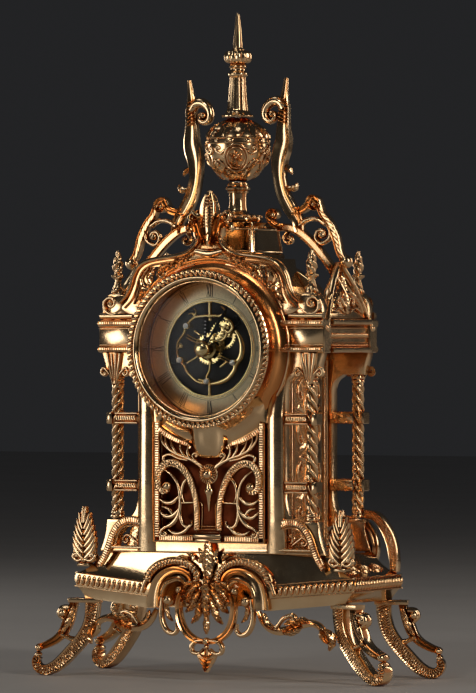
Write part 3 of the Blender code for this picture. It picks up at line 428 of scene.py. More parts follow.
    def slab(self, loops, low, high, soften=0.5, detail=0):
        """A flat plate with rounded edges between two heights; the first loop is the outside."""
        curve = bpy.data.curves.new("slab", "CURVE")
        curve.dimensions = "2D"
        curve.fill_mode = "BOTH"
        curve.extrude = (high - low) / 2 - soften
        curve.bevel_depth = soften
        curve.bevel_resolution = 2
        curve.offset = -soften
        for loop in loops:
            points = smooth_path(loop, detail, True) if detail else np.asarray(loop, float)
            spline = curve.splines.new("POLY")
            spline.points.add(len(points) - 1)
            spline.points.foreach_set("co", np.hstack([points, np.zeros((len(points), 1)),
                                                       np.ones((len(points), 1))]).ravel())
            spline.use_cyclic_u = True
        holder = bpy.data.objects.new("slab", curve)
        bpy.context.scene.collection.objects.link(holder)
        mesh = bpy.data.meshes.new_from_object(holder.evaluated_get(bpy.context.evaluated_depsgraph_get()))
        bpy.data.objects.remove(holder)
        bm = bmesh.new()
        bm.from_mesh(mesh)
        bmesh.ops.remove_doubles(bm, verts=bm.verts, dist=0.001)
        start = len(self.points)
        self.points.extend((p.co.x, p.co.y, p.co.z + (low + high) / 2) for p in bm.verts)
        self.faces.extend(tuple(start + p.index for p in f.verts) for f in bm.faces)
        bm.free()
        bpy.data.meshes.remove(mesh)

    def block(self, low, high, soften=0.5):
        """A box with chamfered edges."""
        (x0, y0, z0), (x1, y1, z1) = low, high
        rows = []
        for z, inset in ((z0, soften), (z0 + soften, 0), (z1 - soften, 0), (z1, soften)):
            a, b, c, d = x0 + inset, x1 - inset, y0 + inset, y1 - inset
            k = soften
            rows.append([(a + k, c, z), (b - k, c, z), (b, c + k, z), (b, d - k, z), (b - k, d, z),
                         (a + k, d, z), (a, d - k, z), (a, c + k, z)])
        self.grid(rows)

    def lathe(self, profile, sides=48, lobes=0, lobe_depth=0.0, twist=0.0, step=0.8, smoothed=True):
        """Spin (radius, height) about the local v axis; lobes modulate the radius and twist winds them."""
        line = smooth_path(profile, step) if smoothed else np.asarray(profile, float)
        angles = np.linspace(0, 2 * math.pi, sides, endpoint=False)
        rows = []
        for radius, height in line:
            wave = 1.0
            if lobes:
                wave = 1 - lobe_depth * (1 - np.abs(np.cos((lobes * angles + twist * height) / 2)))
            r = np.maximum(radius, 0.02) * wave
            rows.append(np.stack([r * np.cos(angles), np.full(sides, height), r * np.sin(angles)], 1))
        self.grid(rows)

    def take(self, other, matrix):
        """Add another relief's shells, moved by a matrix."""
        start = len(self.points)
        self.points.extend(tuple(matrix @ Vector(p)) for p in other.points)
        self.faces.extend(tuple(start + i for i in f) for f in other.faces)

    def hoop(self, profile, sides=96):
        """Spin a closed (radius, height) outline into a ring round the local v axis."""
        angles = np.linspace(0, 2 * math.pi, sides, endpoint=False)
        rows = [[(r * math.cos(a), h, r * math.sin(a)) for r, h in profile] for a in angles]
        self.grid(rows, loop=True)

    def make(self, name, matrix=Matrix.Identity(4), material=None, body="body", slot="gilt", stands_for=(),
             sharp=38):
        """Turn the shells into one object that rides on a CAD body."""
        mesh = bpy.data.meshes.new(name)
        mesh.from_pydata([tuple(p) for p in self.points], [], self.faces)
        mesh.transform(Matrix.Scale(MM, 4) @ matrix)
        bm = bmesh.new()
        bm.from_mesh(mesh)
        bmesh.ops.dissolve_degenerate(bm, edges=bm.edges, dist=1e-7)
        bmesh.ops.recalc_face_normals(bm, faces=bm.faces)
        bm.to_mesh(mesh)
        bm.free()
        mesh.shade_smooth()
        mesh.set_sharp_from_angle(angle=math.radians(sharp))
        mesh.materials.append(material or GILT)
        piece = bpy.data.objects.new(name, mesh)
        bpy.context.scene.collection.objects.link(piece)
        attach(piece, body)
        if stands_for:
            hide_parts(*stands_for)
        return piece


# ---------------------------------------------------------------- places taken from the frame
DIAL_Z = sum(span("bezel", 2)) / 2
DRUM_R = (span("dial_drum", 0)[1] - span("dial_drum", 0)[0]) / 2
DRUM_FRONT = span("dial_drum", 1)[0]
BEZEL_R = (span("bezel", 0)[1] - span("bezel", 0)[0]) / 2
BEZEL_FRONT = span("bezel", 1)[0]
BASE_TOP = span("base_plinth", 2)[1]
GRILLE_BACK = span("front_grille", 1)[1]
APRON_FACE, APRON_BACK = span("front_apron", 1)
FINIAL_TOP = span("spire", 2)[1]
COLUMN_X = sum(span("column_front_right", 0)) / 2
COLUMN_Y = -sum(span("column_front_right", 1)) / 2
COLUMN_R = 4.0
COLUMN_Z = span("column_front_right", 2)
FACE_Y = 37.5
CENTRE = (0, DIAL_Z)
BORE_R = 43.8
HINGE_X, HINGE_Y = -50.5, 41.4  # the rear door's pin
FOOT_SPLAY = math.radians(17)
FOOT_SINK = 0.05  # keeps the feet's lowest facets on the floor
CORNERS = [(f"{depth}_{name}", sign_x, sign_y) for depth, sign_y in (("front", -1), ("rear", 1))
           for name, sign_x in (("left", -1), ("right", 1))]


def both(make):
    """Call make for the left and the right side with its name and sign."""
    for name, sign in (("left", -1), ("right", 1)):
        make(name, sign)


# ---------------------------------------------------------------- base
BASE_HALF_X = 99.6
BASE_HALF_Y = 35.0
GADROON_Z = (58.0, 66.0)
ARCH_SIDE = 1  # side of the plinth ring that the arch breaks, without gadroons
ARCH_BOTTOM = (38.6, 40)  # corner of the arch cut out of the front
BASE_FRONT = 41.0  # half depth at the middle of the front
CREASE_X = 43.5  # where the forward middle part begins
DIP = 5.0  # how much lower the middle part hangs
PLINTH = [  # height, inset, share of the dip
    (50, -7.0, 1.0), (51.4, -6.6, 1.0), (53.6, -5.0, 1.0), (56, -3.0, 1.0), (57.4, -1.2, 1.0),
          (58.2, -0.8, 1.0), (62, 0.0, 1.0), (65.4, -0.9, 1.0), (66.2, -2.6, 1.0), (67.6, -5.6, 0.9),
          (69.6, -9.4, 0.7), (72.4, -13, 0.4), (75.6, -16, 0.15), (78.4, -18, 0), (BASE_TOP, -19.4, 0)]


def plinth_corners(z, inset, dip):
    """Ring of the plinth at one height: the middle of the front stands forward and hangs lower."""
    x, corner, middle = BASE_HALF_X + inset, BASE_HALF_Y + inset * 0.18, BASE_FRONT + inset * 0.16
    low = z - DIP * dip
    ring = [(-x, -corner, z), (-CREASE_X, -middle, low), (CREASE_X, -middle, low), (x, -corner, z)]
    return ring + [(x, corner, z), (CREASE_X, middle, low), (-CREASE_X, middle, low), (-x, corner, z)]


def facing(start, end):
    """Local frame whose u axis runs from start to end along a face, h pointing out."""
    u = (Vector(end) - Vector(start)).normalized()
    v = (Vector((0, 0, 1)) - u * u.z).normalized()
    h = u.cross(v)
    m = Matrix((u, v, h)).transposed().to_4x4()
    m.translation = start
    return m


def cutting(name, outline, low, high):
    """Prism that a boolean modifier subtracts; outline is (x, z) and low, high are y."""
    cutter = Relief()
    cutter.slab([outline], low, high, 0.0)
    mesh = bpy.data.meshes.new(name)
    mesh.from_pydata([(x * MM, h * MM, z * MM) for x, z, h in cutter.points], [], cutter.faces)
    bm = bmesh.new()
    bm.from_mesh(mesh)
    bmesh.ops.recalc_face_normals(bm, faces=bm.faces)
    bm.to_mesh(mesh)
    bm.free()
    obj = bpy.data.objects.new(name, mesh)
    bpy.context.scene.collection.objects.link(obj)
    return obj


def carve(piece, cutter):
    """Apply an exact difference and drop the cutter."""
    modifier = piece.modifiers.new("carve", "BOOLEAN")
    modifier.operation = "DIFFERENCE"
    modifier.solver = "EXACT"
    modifier.object = cutter
    mesh = bpy.data.meshes.new_from_object(piece.evaluated_get(bpy.context.evaluated_depsgraph_get()))
    piece.modifiers.clear()
    piece.data = mesh
    bpy.data.objects.remove(cutter)


def make_base():
    """Stepped plinth: cove below, gadroons round the edge, concave slope above, open arch in front."""
    plinth = Relief()
    plinth.grid([plinth_corners(*row) for row in PLINTH])
    block = plinth.make("plinth", material=GILT_SMOOTH, stands_for=["base_plinth"], sharp=28)
    arch = smooth_path([(38.4, 52), (36.4, 57), (32, 62.6), (24, 67), (15, 67.6), (8, 64.4), (0, 61)],
                       1.5).tolist()
    loop = [ARCH_BOTTOM] + arch + flip(reversed(arch[:-1])) + flip([ARCH_BOTTOM])
    carve(block, cutting("arch_cutter", loop, -60, -27))

    teeth = Relief()
    middle = sum(GADROON_Z) / 2
    ring = plinth_corners(middle, -0.2, 1.0)
    for k, start in enumerate(ring):
        end = ring[(k + 1) % len(ring)]
        if k == ARCH_SIDE:
            continue
        length = (Vector(end) - Vector(start)).length
        row = Relief()
        row.beads([(0.8, 0), (length - 0.8, 0)], 1.62, 4.0, 2.4, -0.6, 2.3, -10, sides=12)
        row.strap([(0, -4.4), (length, -4.4)], 0.5, ROUND, 1.0, -0.8, smoothed=False)
        row.strap([(0, 4.1), (length, 4.1)], 0.45, ROUND, 1.0, -1.0, smoothed=False)
        teeth.take(row, facing(start, end))
    for s in (-1, 1):
        spray = Relief()
        for x in (-17, 0, 17):
            spray.leaf([(x - 7, 0), (x - 2, 2.2), (x + 3, 1.4), (x + 7, -1.6)], 2.2, 5, 0.9, 0, 0.3)
            spray.leaf([(x + 7, 1), (x + 2, -2), (x - 3, -1.6), (x - 6, 1)], 1.8, 4, 0.8, 0, 0.3)
        slope = Matrix.Translation((s * 89.4, 0, 70.6)) @ Matrix.Rotation(s * math.radians(-50), 4, "Y")
        teeth.take(spray, slope @ side(s, 0))
    teeth.make("plinth_gadroons")


# ---------------------------------------------------------------- feet
def foot_relief():
    foot = Relief()
    thick = 4.2
    main = [(20.4, 50), (20.4, 46), (20.8, 39.6), (22.4, 32.5), (25.8, 25.8), (31, 19.3), (36.8, 12.9),
            (42.6, 7.4), (48, 4.3), (52.8, 3.6), (56.4, 5.8), (57.4, 9.8), (55.8, 12.2)]
    foot.strap(main, [5.0, 4.8, 4.5, 4.5, 4.5, 4.4, 4.4, 4.4, 4.2, 3.9, 3.4, 2.9, 2.2], CHANNEL, thick, 0,
               0, ribs=(1.75, 1.2, 0.4), step=0.29)
    upper = [(32.8, 50), (32.8, 46.4), (34.2, 40.6), (36.8, 34), (39.9, 27.6), (44.2, 23.2), (50, 20),
             (54.8, 18.2)]
    foot.strap(upper, [2.6, 2.6, 3.2, 3.5, 3.0, 2.7, 2.4, 2.1], COVE, thick * 0.9, 0, 0)
    foot.strap([(31, 22.4), (36, 24.2), (41, 26.8)], [2.6, 1.5, 2.0], ROUND, thick * 0.8, 0, 0)
    foot.strap([(36, 43.6), (40.4, 43.0), (42.2, 39.4), (39.4, 36)], [2.0, 2.2, 1.8, 1.2], ROUND,
               thick * 0.9, 0, 0)
    for x, y, r in ((40.0, 40.4, 3.5), (55.6, 17.8, 2.7), (56.2, 13.2, 2.3)):
        foot.ball((x, y), r, thick + 0.9, 0)
        foot.ball((x, y), r, -thick - 0.9, 0)
    for face in (1, -1):
        foot.leaf([(32.6, 45), (34.0, 39), (37.0, 32.6), (40.6, 27)], 2.3, 4, face * 1.5,
                  face * thick * 0.62, face * 0.3)
    foot.slab([[(14.8, 47.0), (36, 47.0), (36.4, 49.9), (14.6, 49.9)]], -4.6, 4.6, 0.5)
    return foot


def make_feet():
    for corner, sign_x, sign_y in CORNERS:
        heading = math.atan2(sign_y * math.sin(FOOT_SPLAY), sign_x * math.cos(FOOT_SPLAY))
        root = Matrix.Translation((sign_x * 69.0, sign_y * 24.8, 0))
        place = root @ Matrix.Rotation(heading, 4, "Z") @ standing(z=-FOOT_SINK)
        foot_relief().make(f"scroll_foot_{corner}", place, stands_for=[f"foot_{corner}"])


# ---------------------------------------------------------------- apron
def apron_half(apron, f):
    """One side of the apron; f mirrors the points for the left side."""
    cove = f([(38.6, 45.6), (38.2, 53), (36.2, 60.4), (31.4, 66.2), (24, 69.4), (16.4, 68.6), (11.8, 64.6),
              (11.6, 60)])
    apron.strap(cove, [4.6, 4.3, 3.6, 3.0, 2.6, 2.2, 1.8, 1.2], COVE, 3.4, -2.6)
    rope = f([(43.6, 62.6), (41.4, 67.4), (37, 71.4), (31, 74.2), (24, 75.4), (17.4, 74.6), (11.4, 71.6),
              (7.6, 66.8), (8.2, 62)])
    apron.strap(rope, [2.6, 2.7, 2.7, 2.7, 2.6, 2.4, 2.0, 1.4], ROUND, 1.4, -1.0)
    apron.beads(rope, 1.05, 2.5, 1.5, 0.0, 2.5, mirror_turn(f, -24), sides=10)
    apron.strap(f([(47.4, 55.4), (44.6, 62), (40.4, 65)]), [1.2, 1.4, 1.0], ROUND, 1.6, -1.0)
    apron.scroll(f([(33.4, 46), (33.6, 54), (30.6, 60.6), (24.6, 63.6)]), [1.3, 1.7, 1.8, 1.4],
                 end=((f([(19.6, 57.0)])[0]), mirror_turn(f, 230)), ball=2.4, section=RIDGE, height=3.0,
                 base=-0.6)
    loop = f([(31.6, 52), (32.6, 44), (31.8, 36.6), (28.6, 31), (23.8, 29.4), (21.0, 32), (21.4, 36.4)])
    apron.strap(loop, [1.4, 1.7, 1.8, 1.9, 1.8, 1.5, 0.9], ROUND, 2.6, -0.4)
    apron.leaf(f([(26, 50), (28.6, 46), (27.6, 40.6), (24.6, 37.4)]), 1.8, 3, 1.8, -0.2, 0.4)
    apron.ball(f([(27.6, 50.4)])[0], 3.4, 4.0, 0.2)
    ring = f([(1.4, 24.6), (8, 26), (14.4, 30.6), (18.4, 38), (19.6, 46.4), (18.6, 53), (15.6, 57)])
    apron.strap(ring, [1.6, 2.0, 2.2, 2.3, 2.2, 1.8, 1.2], COVE, 3.0, -0.2)
    apron.strap(f([(2.0, 25.4), (7.4, 25), (10.8, 21.8), (9.8, 17.8), (5.4, 17.4), (2.4, 20)]),
                [1.2, 1.5, 1.6, 1.5, 1.3, 0.9], ROUND, 2.4, -0.2)
    apron.ball(f([(10.4, 19.6)])[0], 1.5, 2.2, 0.4)
    for spine, width in (([(3.4, 62), (8, 59.6), (12.6, 54.6), (13.4, 49)], 3.2),
                         ([(3, 58), (7.6, 53), (10.4, 47.4), (14.6, 43.4)], 3.2),
                         ([(2, 54), (5, 47), (6.6, 41), (10.6, 36.4)], 2.8),
                         ([(16.4, 57), (13.6, 60.6), (8.6, 62)], 2.2),
                         ([(17, 50), (13.2, 51.4), (10, 56)], 2.2)):
        apron.leaf(f(spine), width, 4, 2.8, -0.4, 0.7)
    for spine, width in (([(6.4, 74), (4.6, 79), (6.8, 83.4)], 2.0),
                         ([(10, 75.4), (11.6, 78.6), (15.6, 80.6)], 1.6),
                         ([(14, 76.6), (18.4, 78), (22.6, 77.4)], 1.4)):
        apron.leaf(f(spine), width, 2, 1.4, -2.0, 0.3)
    wing = f([(36.2, 44.4), (39.6, 38.4), (44.6, 34.2), (51, 32.6), (58, 34), (65, 36.6), (72, 38),
              (78, 36), (82.4, 30.6), (84.4, 26)])
    apron.strap(wing, [1.4, 2.2, 2.6, 2.8, 2.6, 2.5, 2.4, 2.2, 2.0, 1.5], RIDGE, 3.4, -0.6)
    apron.leaf(f([(80.6, 34), (85, 31), (86.4, 26.4), (84.6, 21.6)]), 3.0, 3, 2.8, -0.6, 0.6)
    apron.leaf(f([(79, 35), (80, 29.6), (83.4, 25.6)]), 2.2, 3, 2.2, -0.4, 0.4)
    apron.scroll(f([(49, 35), (53.6, 40.6), (59, 42.6)]), [1.2, 1.6, 1.2],
                 end=((f([(59.4, 39.4)])[0]), mirror_turn(f, -240)), ball=1.8, section=ROUND, height=2.4,
                 base=-0.6)
    for spine in ([(66, 37.6), (61, 39.4), (55, 37)], [(72, 38.6), (66.6, 40), (61, 38.4)],
                  [(47, 34.6), (42.6, 38), (40.8, 43.4)], [(54, 31.6), (60.6, 32), (66.6, 35.4)]):
        apron.leaf(f(spine), 2.2, 3, 2.2, 0.6, 0.5)


def make_apron():
    apron = Relief()
    apron_half(apron, same)
    apron_half(apron, flip)
    apron.leaf([(0, 66), (0, 57), (0, 48), (0, 38.6)], 3.6, 5, 4.0, 0.0, 0.8)
    apron.leaf([(0, 88.6), (0, 81), (0, 72), (0, 62)], 4.4, 4, 2.8, -2.0, 0.6)
    apron.leaf([(0, 41), (0, 36), (0, 30)], 2.4, 3, 3.0, 0.4, 0.5)
    drop = [(0, 5.2), (2.6, 8.4), (5.4, 12.4), (7.2, 16), (5.6, 18.4), (3, 18), (0, 20.4)]
    outline = drop + flip(reversed(drop[1:-1]))
    apron.slab([outline], -1.6, 1.2, 0.6)
    apron.strap([(0, 20), (0, 13), (0, 6.2)], [1.4, 1.3, 0.5], RIDGE, [3.2, 3.0, 1.6], 0.4)
    for s in (-1, 1):
        for z, reach in ((17.6, 5.4), (14.6, 5.6), (11.6, 4.0), (9.0, 2.6)):
            apron.strap([(s * 0.4, z - 3.0), (s * reach * 0.6, z - 1.4), (s * reach, z)], [1.0, 1.0, 0.4],
                        RIDGE, [2.4, 2.0, 1.0], 0.6)
    apron.ball((0, 25.0), 2.5, 3.8, 0.6)
    apron.ball((0, 21.4), 1.6, 2.8, 0.6)
    apron.points = [(u, v, h - 2.6 * max(0.0, (abs(u) - 42) / 44) ** 1.5) for u, v, h in apron.points]
    apron.make("apron_scrollwork", front((APRON_FACE + APRON_BACK) / 2 + 0.4), stands_for=["front_apron"])


# ---------------------------------------------------------------- leaf finials on the corners
def make_leaf_finials():
    """Upright acanthus leaves: pointed side blades that rise from a ribbed spine."""
    def one(name, sign):
        low, high = span(f"leaf_finial_{name}", 2)
        x = sum(span(f"leaf_finial_{name}", 0)) / 2
        y0, y1 = span(f"leaf_finial_{name}", 1)
        leaf = Relief()
        edge = [(0, 1.4), (5, 2.6), (8.0, 7), (8.4, 13), (7.2, 19), (5.2, 26), (2.8, 33),
                (0.8, high - low - 1.6)]
        outline = [(x + u, low + v) for u, v in edge] + [(x - u, low + v) for u, v in reversed(edge[1:])]
        leaf.slab([outline], -1.2, 1.2, 0.6, detail=1.5)
        for face in (1, -1):
            for s in (-1, 1):
                for i in range(7):
                    t = i / 7
                    root = low + 5.0 + 27 * t
                    reach = float(np.interp(root - low + 6, [v for _, v in edge],
                                            [u for u, _ in edge])) + 0.3
                    leaf.strap([(x + s * 0.6, root), (x + s * reach * 0.6, root + 4.4),
                                (x + s * reach * 0.97, root + 10.2)],
                               [1.5, 2.2 - 0.9 * t, 1.7 - 0.6 * t, 0.4], ROUND,
                               [face * 2.2, face * 2.0, face * 1.2], face * 0.9)
                leaf.scroll([(x + s * 0.6, low + 5.0), (x + s * 4.4, low + 3.6), (x + s * 7.4, low + 5.4)],
                            [1.3, 1.4], end=((x + s * 5.6, low + 6.6), s * 240), ball=1.3, section=ROUND,
                            height=face * 2.2, base=face * 0.9)
            leaf.strap([(x, low + 2), (x, low + 18), (x, high - 0.6)], [1.3, 0.9, 0.35], RIDGE,
                       [face * 3.4, face * 3.2, face * 1.4], face * 0.8)
            leaf.ball((x, low + 4.0), 2.0, face * 2.6, face * 1.4)
        leaf.block((x - 4.4, low + 0.1, -3.4), (x + 4.4, low + 2.2, 3.4))
        leaf.make(f"corner_leaf_{name}", front((y0 + y1) / 2), stands_for=[f"leaf_finial_{name}"])

    both(one)


# ---------------------------------------------------------------- frames
CORNICE = (207.0, 228.0)
RUNGS = (122.6, 165.5)
WINDOW_ARCH = [(46, 84), (68.5, 84), (67, 91), (62.5, 95.8), (56.5, 97.3), (50.5, 95.8), (46.6, 91.4)]


def frame_outline():
    lower = smooth_path([(80, BASE_TOP + 0.3), (77.4, 87), (75.6, 94), (75, 101)], 1.5).tolist()
    waist = [(63, 101)] + smooth_path([(62.4, 101.2), (57.5, 103), (54, 108), (52.5, 115)], 1.5).tolist()
    capital = smooth_path([(52.5, 184), (54.5, 189), (60, 193)], 1.5).tolist() + [(75, 193), (76, 200),
            (78, 206)]
    shoulder = [(78, 234)] + smooth_path([(77.8, 236), (76.6, 240), (73.4, 244.4), (69, 245), (64.6, 244.4),
                                          (61, 241)], 1.2).tolist()
    top = arc(CENTRE, 57.1, 33, 90, 3)
    half = lower + waist + capital + shoulder + [list(p) for p in top]
    return half + flip(reversed(half[:-1]))


def frame_casting(openings):
    """Shared front and rear frame: plate, rungs, cornice blocks, consoles and shoulder volutes."""
    casting = Relief()
    casting.slab([frame_outline()] + openings, -8.0, 0.0, 0.6)
    for s in (-1, 1):
        for z in RUNGS:
            x0, x1 = sorted((s * 51.2, s * 67.6))
            casting.block((x0, z - 3.4, -9.0), (x1, z + 3.4, 0.2), 0.5)
            x0, x1 = sorted((s * 70.8, s * 74.6))
            casting.block((x0, z - 3.8, -8.0), (x1, z + 3.8, 1.4), 0.6)
            for dz in (-3.0, 3.0):
                casting.strap([(s * 52.6, z + dz), (s * 68.4, z + dz)], 0.8, ROUND, 1.5, 0.0,
                              smoothed=False)
            casting.strap([(s * 53.6, z), (s * 67.4, z)], 1.9, CHANNEL, 1.3, 0.0, ribs=(1.6, 0.8, 0.3),
                          step=0.27)
        x0, x1 = sorted((s * 50, s * 80))
        casting.block((x0, CORNICE[0], -9.4), (x1, CORNICE[1], 1.0), 0.6)
        for z, half in ((CORNICE[0] + 2.2, 2.0), (CORNICE[1] - 2.4, 2.2)):
            casting.strap([(s * 50.6, z), (s * 79.8, z)], half, ROUND, 2.4, 0.9, smoothed=False)
            casting.strap([(s * 51.4, z + 0.3), (s * 79.0, z + 0.3)], half * 0.5, CHANNEL, 0.8, 2.6,
                          ribs=(1.6, 0.8, 0.0), step=0.27)
        for z in (CORNICE[0] + 5.0, CORNICE[1] - 5.4):
            casting.strap([(s * 51, z), (s * 79.4, z)], 0.5, ROUND, 0.9, 0.9, smoothed=False)
        console(casting, s)
        rim_arch(casting, s)
        shoulder(casting, s)
    return casting


def console(casting, s):
    """Fluted bracket that tapers from the cornice to the column, with a curl on each side."""
    for x, lean in ((-4.4, 1.9), (-1.5, 0.7), (1.5, -0.7), (4.4, -1.9)):
        casting.strap([(s * (69 + x), 206.6), (s * (69 + x * 0.86 + lean * 0.1), 201),
                       (s * (69 + x * 0.28), 189)],
                      [1.6, 1.4, 0.5], ROUND, [2.6, 2.2, 1.2], 0.0)
    casting.strap([(s * 69, 207), (s * 69, 198), (s * 69, 187.4)], [6.4, 5.2, 1.4], ROUND, [1.8, 1.6, 1.0],
                  -0.2)
    for side_sign in (-1, 1):
        centre = (s * (69 + side_sign * 7.2), 194.4)
        start = (centre[0] + side_sign * s * 0.4, centre[1] + 3.0)
        turn = -260 if side_sign * s > 0 else 260
        casting.scroll([(s * (69 + side_sign * 1.2), 188.4), (s * (69 + side_sign * 3.2), 193), start],
                       [0.8, 1.1], end=(centre, turn), ball=1.2, section=ROUND, height=1.8, base=-0.3)


def rim_arch(casting, s):
    """Hatched arch over the corner window, running down outside to the plinth."""
    casting.strap([(s * 45.4, 86), (s * 45.6, 93), (s * 49.6, 98.6), (s * 56.6, 100.6), (s * 64, 98.6),
                   (s * 69.4, 92.4), (s * 72.6, 84.6), (s * 75.6, 77.6), (s * 79.6, 71.4)],
                  [2.2, 2.4, 2.5, 2.5, 2.5, 2.4, 2.2, 1.8], CHANNEL, 2.2, 0.0, ribs=(1.55, 0.9, 0.0),
                  step=0.26)
    casting.strap([(s * 46.6, 91), (s * 50.4, 95.9), (s * 56.5, 97.4), (s * 62.6, 95.9), (s * 67, 91)], 0.8,
                  ROUND, 1.7, 0.0)
    casting.strap([(s * 45, 83.2), (s * 71, 83.2)], 1.1, ROUND, 1.8, 0.0)
    back = -5.4
    casting.scroll([(s * 47.6, 85), (s * 48.4, 90), (s * 52, 92.6), (s * 55.4, 90.8)], [0.9, 0.9],
                   end=((s * 52.8, 89.2), -s * 250), ball=1.2, section=ROUND, height=1.8, base=back)
    casting.scroll([(s * 54, 85), (s * 58.4, 88.4), (s * 62.4, 91), (s * 65.4, 88.6)], [0.9, 0.9],
                   end=((s * 63, 87.6), -s * 250), ball=1.1, section=ROUND, height=1.8, base=back)


def shoulder(casting, s):
    """Swelling shoulder under the pinnacle with its volute."""
    casting.strap([(s * 79, 230.4), (s * 66, 230.4), (s * 55.6, 230.6)], [2.2, 2.4, 2.4], ROUND, 3.0, -0.6)
    casting.scroll([(s * 57.4, 240), (s * 63, 235.4), (s * 69.6, 231.6), (s * 75.2, 233.6),
                    (s * 76.4, 238.4)],
                   [1.0, 1.2, 1.3, 1.3], end=((s * 71.6, 238.2), s * 330), ball=1.9, section=ROUND,
                   height=2.4, base=-0.2)
    casting.ball((s * 66, 234.6), 9.6, 2.6, -0.9, sides=20)


def make_front_frame():
    window = [(-35, 91), (35, 91)] + arc(CENTRE, 64.5, -57, -123, 4)
    openings = [window, arc(CENTRE, DRUM_R + 0.3, 0, 354, 6), WINDOW_ARCH, flip(WINDOW_ARCH)]
    casting = frame_casting(openings)
    for s in (-1, 1):
        casting.strap([(s * 46, 81), (s * 46, 92), (s * 46, 104), (s * 45.8, 140), (s * 45.8, 170),
                       (s * 47.4, 188)],
                      [7.0, 6.4, 6.2, 6.2, 6.2, 5.0], ROUND, [2.4, 3.4, 4.0, 4.0, 4.0, 1.4], -0.5)
    casting.strap(arc(CENTRE, 55.6, -32, 212, 3), 1.2, ROUND, 3.0, -0.2)
    casting.beads(arc(CENTRE, 53.6, -30, 210, 3), 0.7, 1.5, 1.1, 0.2, 1.4, 26, sides=6)
    casting.make("front_casting", front(-FACE_Y), stands_for=["front_frame"])


def make_rear_frame():
    openings = [arc(CENTRE, 43, 0, 354, 6), WINDOW_ARCH, flip(WINDOW_ARCH)]
    casting = frame_casting(openings)
    for s in (-1, 1):
        wing = [(74, 104.6), (82, 102.6), (88.6, 95.4), (93, 86), (94.8, 76), (95, 67.8)]
        casting.strap([(s * x, z) for x, z in wing], [2.8, 3.2, 3.4, 3.0, 2.4], CHANNEL, 3.6, -4, 0,
                      ribs=(1.2, 0.4, 0.4), step=0.5)
        inner = [(75.6, 98), (80, 92), (82, 84), (81, 76), (77, 69)]
        casting.strap([(s * x, z) for x, z in inner], [1.6, 1.8, 1.8, 1.5], COVE, 2.6, -4, 0)
        casting.ball((s * 94.8, 69), 2.4, 3.2, -4, whole=True)
    casting.strap(arc(CENTRE, 52.4, -40, 220, 4), 1.2, ROUND, 1.4, -0.2)
    casting.beads(arc(CENTRE, 49.2, -70, 120, 4), 0.9, 2.0, 1.1, -0.1)
    low = (DIAL_Z - 12.6, DIAL_Z + 4.6)
    knuckle = Relief()
    for z in low:
        knuckle.lathe([(2.0, z), (2.0, z + 8)], 16, smoothed=False)
        knuckle.block((-4.6, z + 0.5, -0.4), (0, z + 7.5, 1.2), 0.2)
    casting.take(knuckle, Matrix.Translation((HINGE_X, 0, HINGE_Y - FACE_Y)))
    casting.make("rear_casting", standing(y=FACE_Y), stands_for=["rear_frame"])


# ---------------------------------------------------------------- columns and pinnacles
def make_columns():
    """Rope-twisted columns, wound the opposite way on the other side, with a ring at each end."""
    for corner, sign, sign_y in CORNERS:
        low, high = COLUMN_Z
        rope = Relief()
        rope.lathe([(COLUMN_R, low), (COLUMN_R, high)], 44, 4, 0.46, sign * 2 * math.pi / 6.4, 0.4)
        for z, r in ((low + 1.4, 4.6), (low + 3.8, 4.2), (high - 1.4, 4.6), (high - 4.0, 4.3),
                     (high - 7.0, 4.0)):
            rope.lathe([(r - 1.8, z - 1.1), (r - 0.3, z - 0.8), (r, z), (r - 0.3, z + 0.8),
                        (r - 1.8, z + 1.1)], 24,
                       smoothed=False)
        rope.make(f"rope_column_{corner}", standing(sign * COLUMN_X, sign_y * COLUMN_Y),
                  stands_for=[f"column_{corner}"], sharp=50)


def make_pinnacles():
    profile = [(3.8, 0), (4.0, 1.4), (3.4, 3.0), (2.4, 5.2), (2.1, 7.8), (2.6, 9.2), (3.7, 10.2),
               (3.7, 11.4), (2.5, 12.4), (2.7, 13.6), (3.3, 16), (3.2, 19), (2.3, 21.6), (2.5, 22.4),
               (1.7, 24.4), (1.1, 26.6), (0.3, 27.4)]
    for corner, sign, sign_y in CORNERS:
        base = span(f"pinnacle_{corner}", 2)[0]
        bud = Relief()
        bud.lathe([(r * 1.12, base + h) for r, h in profile], 32, 3, 0.36, sign * 1.15, 0.4)
        for i in range(8):
            angle = 2 * math.pi * i / 8
            bud.ball((3.5 * math.cos(angle), base + 10.8), 0.8, 0.8, 3.5 * math.sin(angle), 8, 4, True)
        bud.make(f"pinnacle_bud_{corner}", standing(sign * COLUMN_X, sign_y * COLUMN_Y),
                  stands_for=[f"pinnacle_{corner}"])


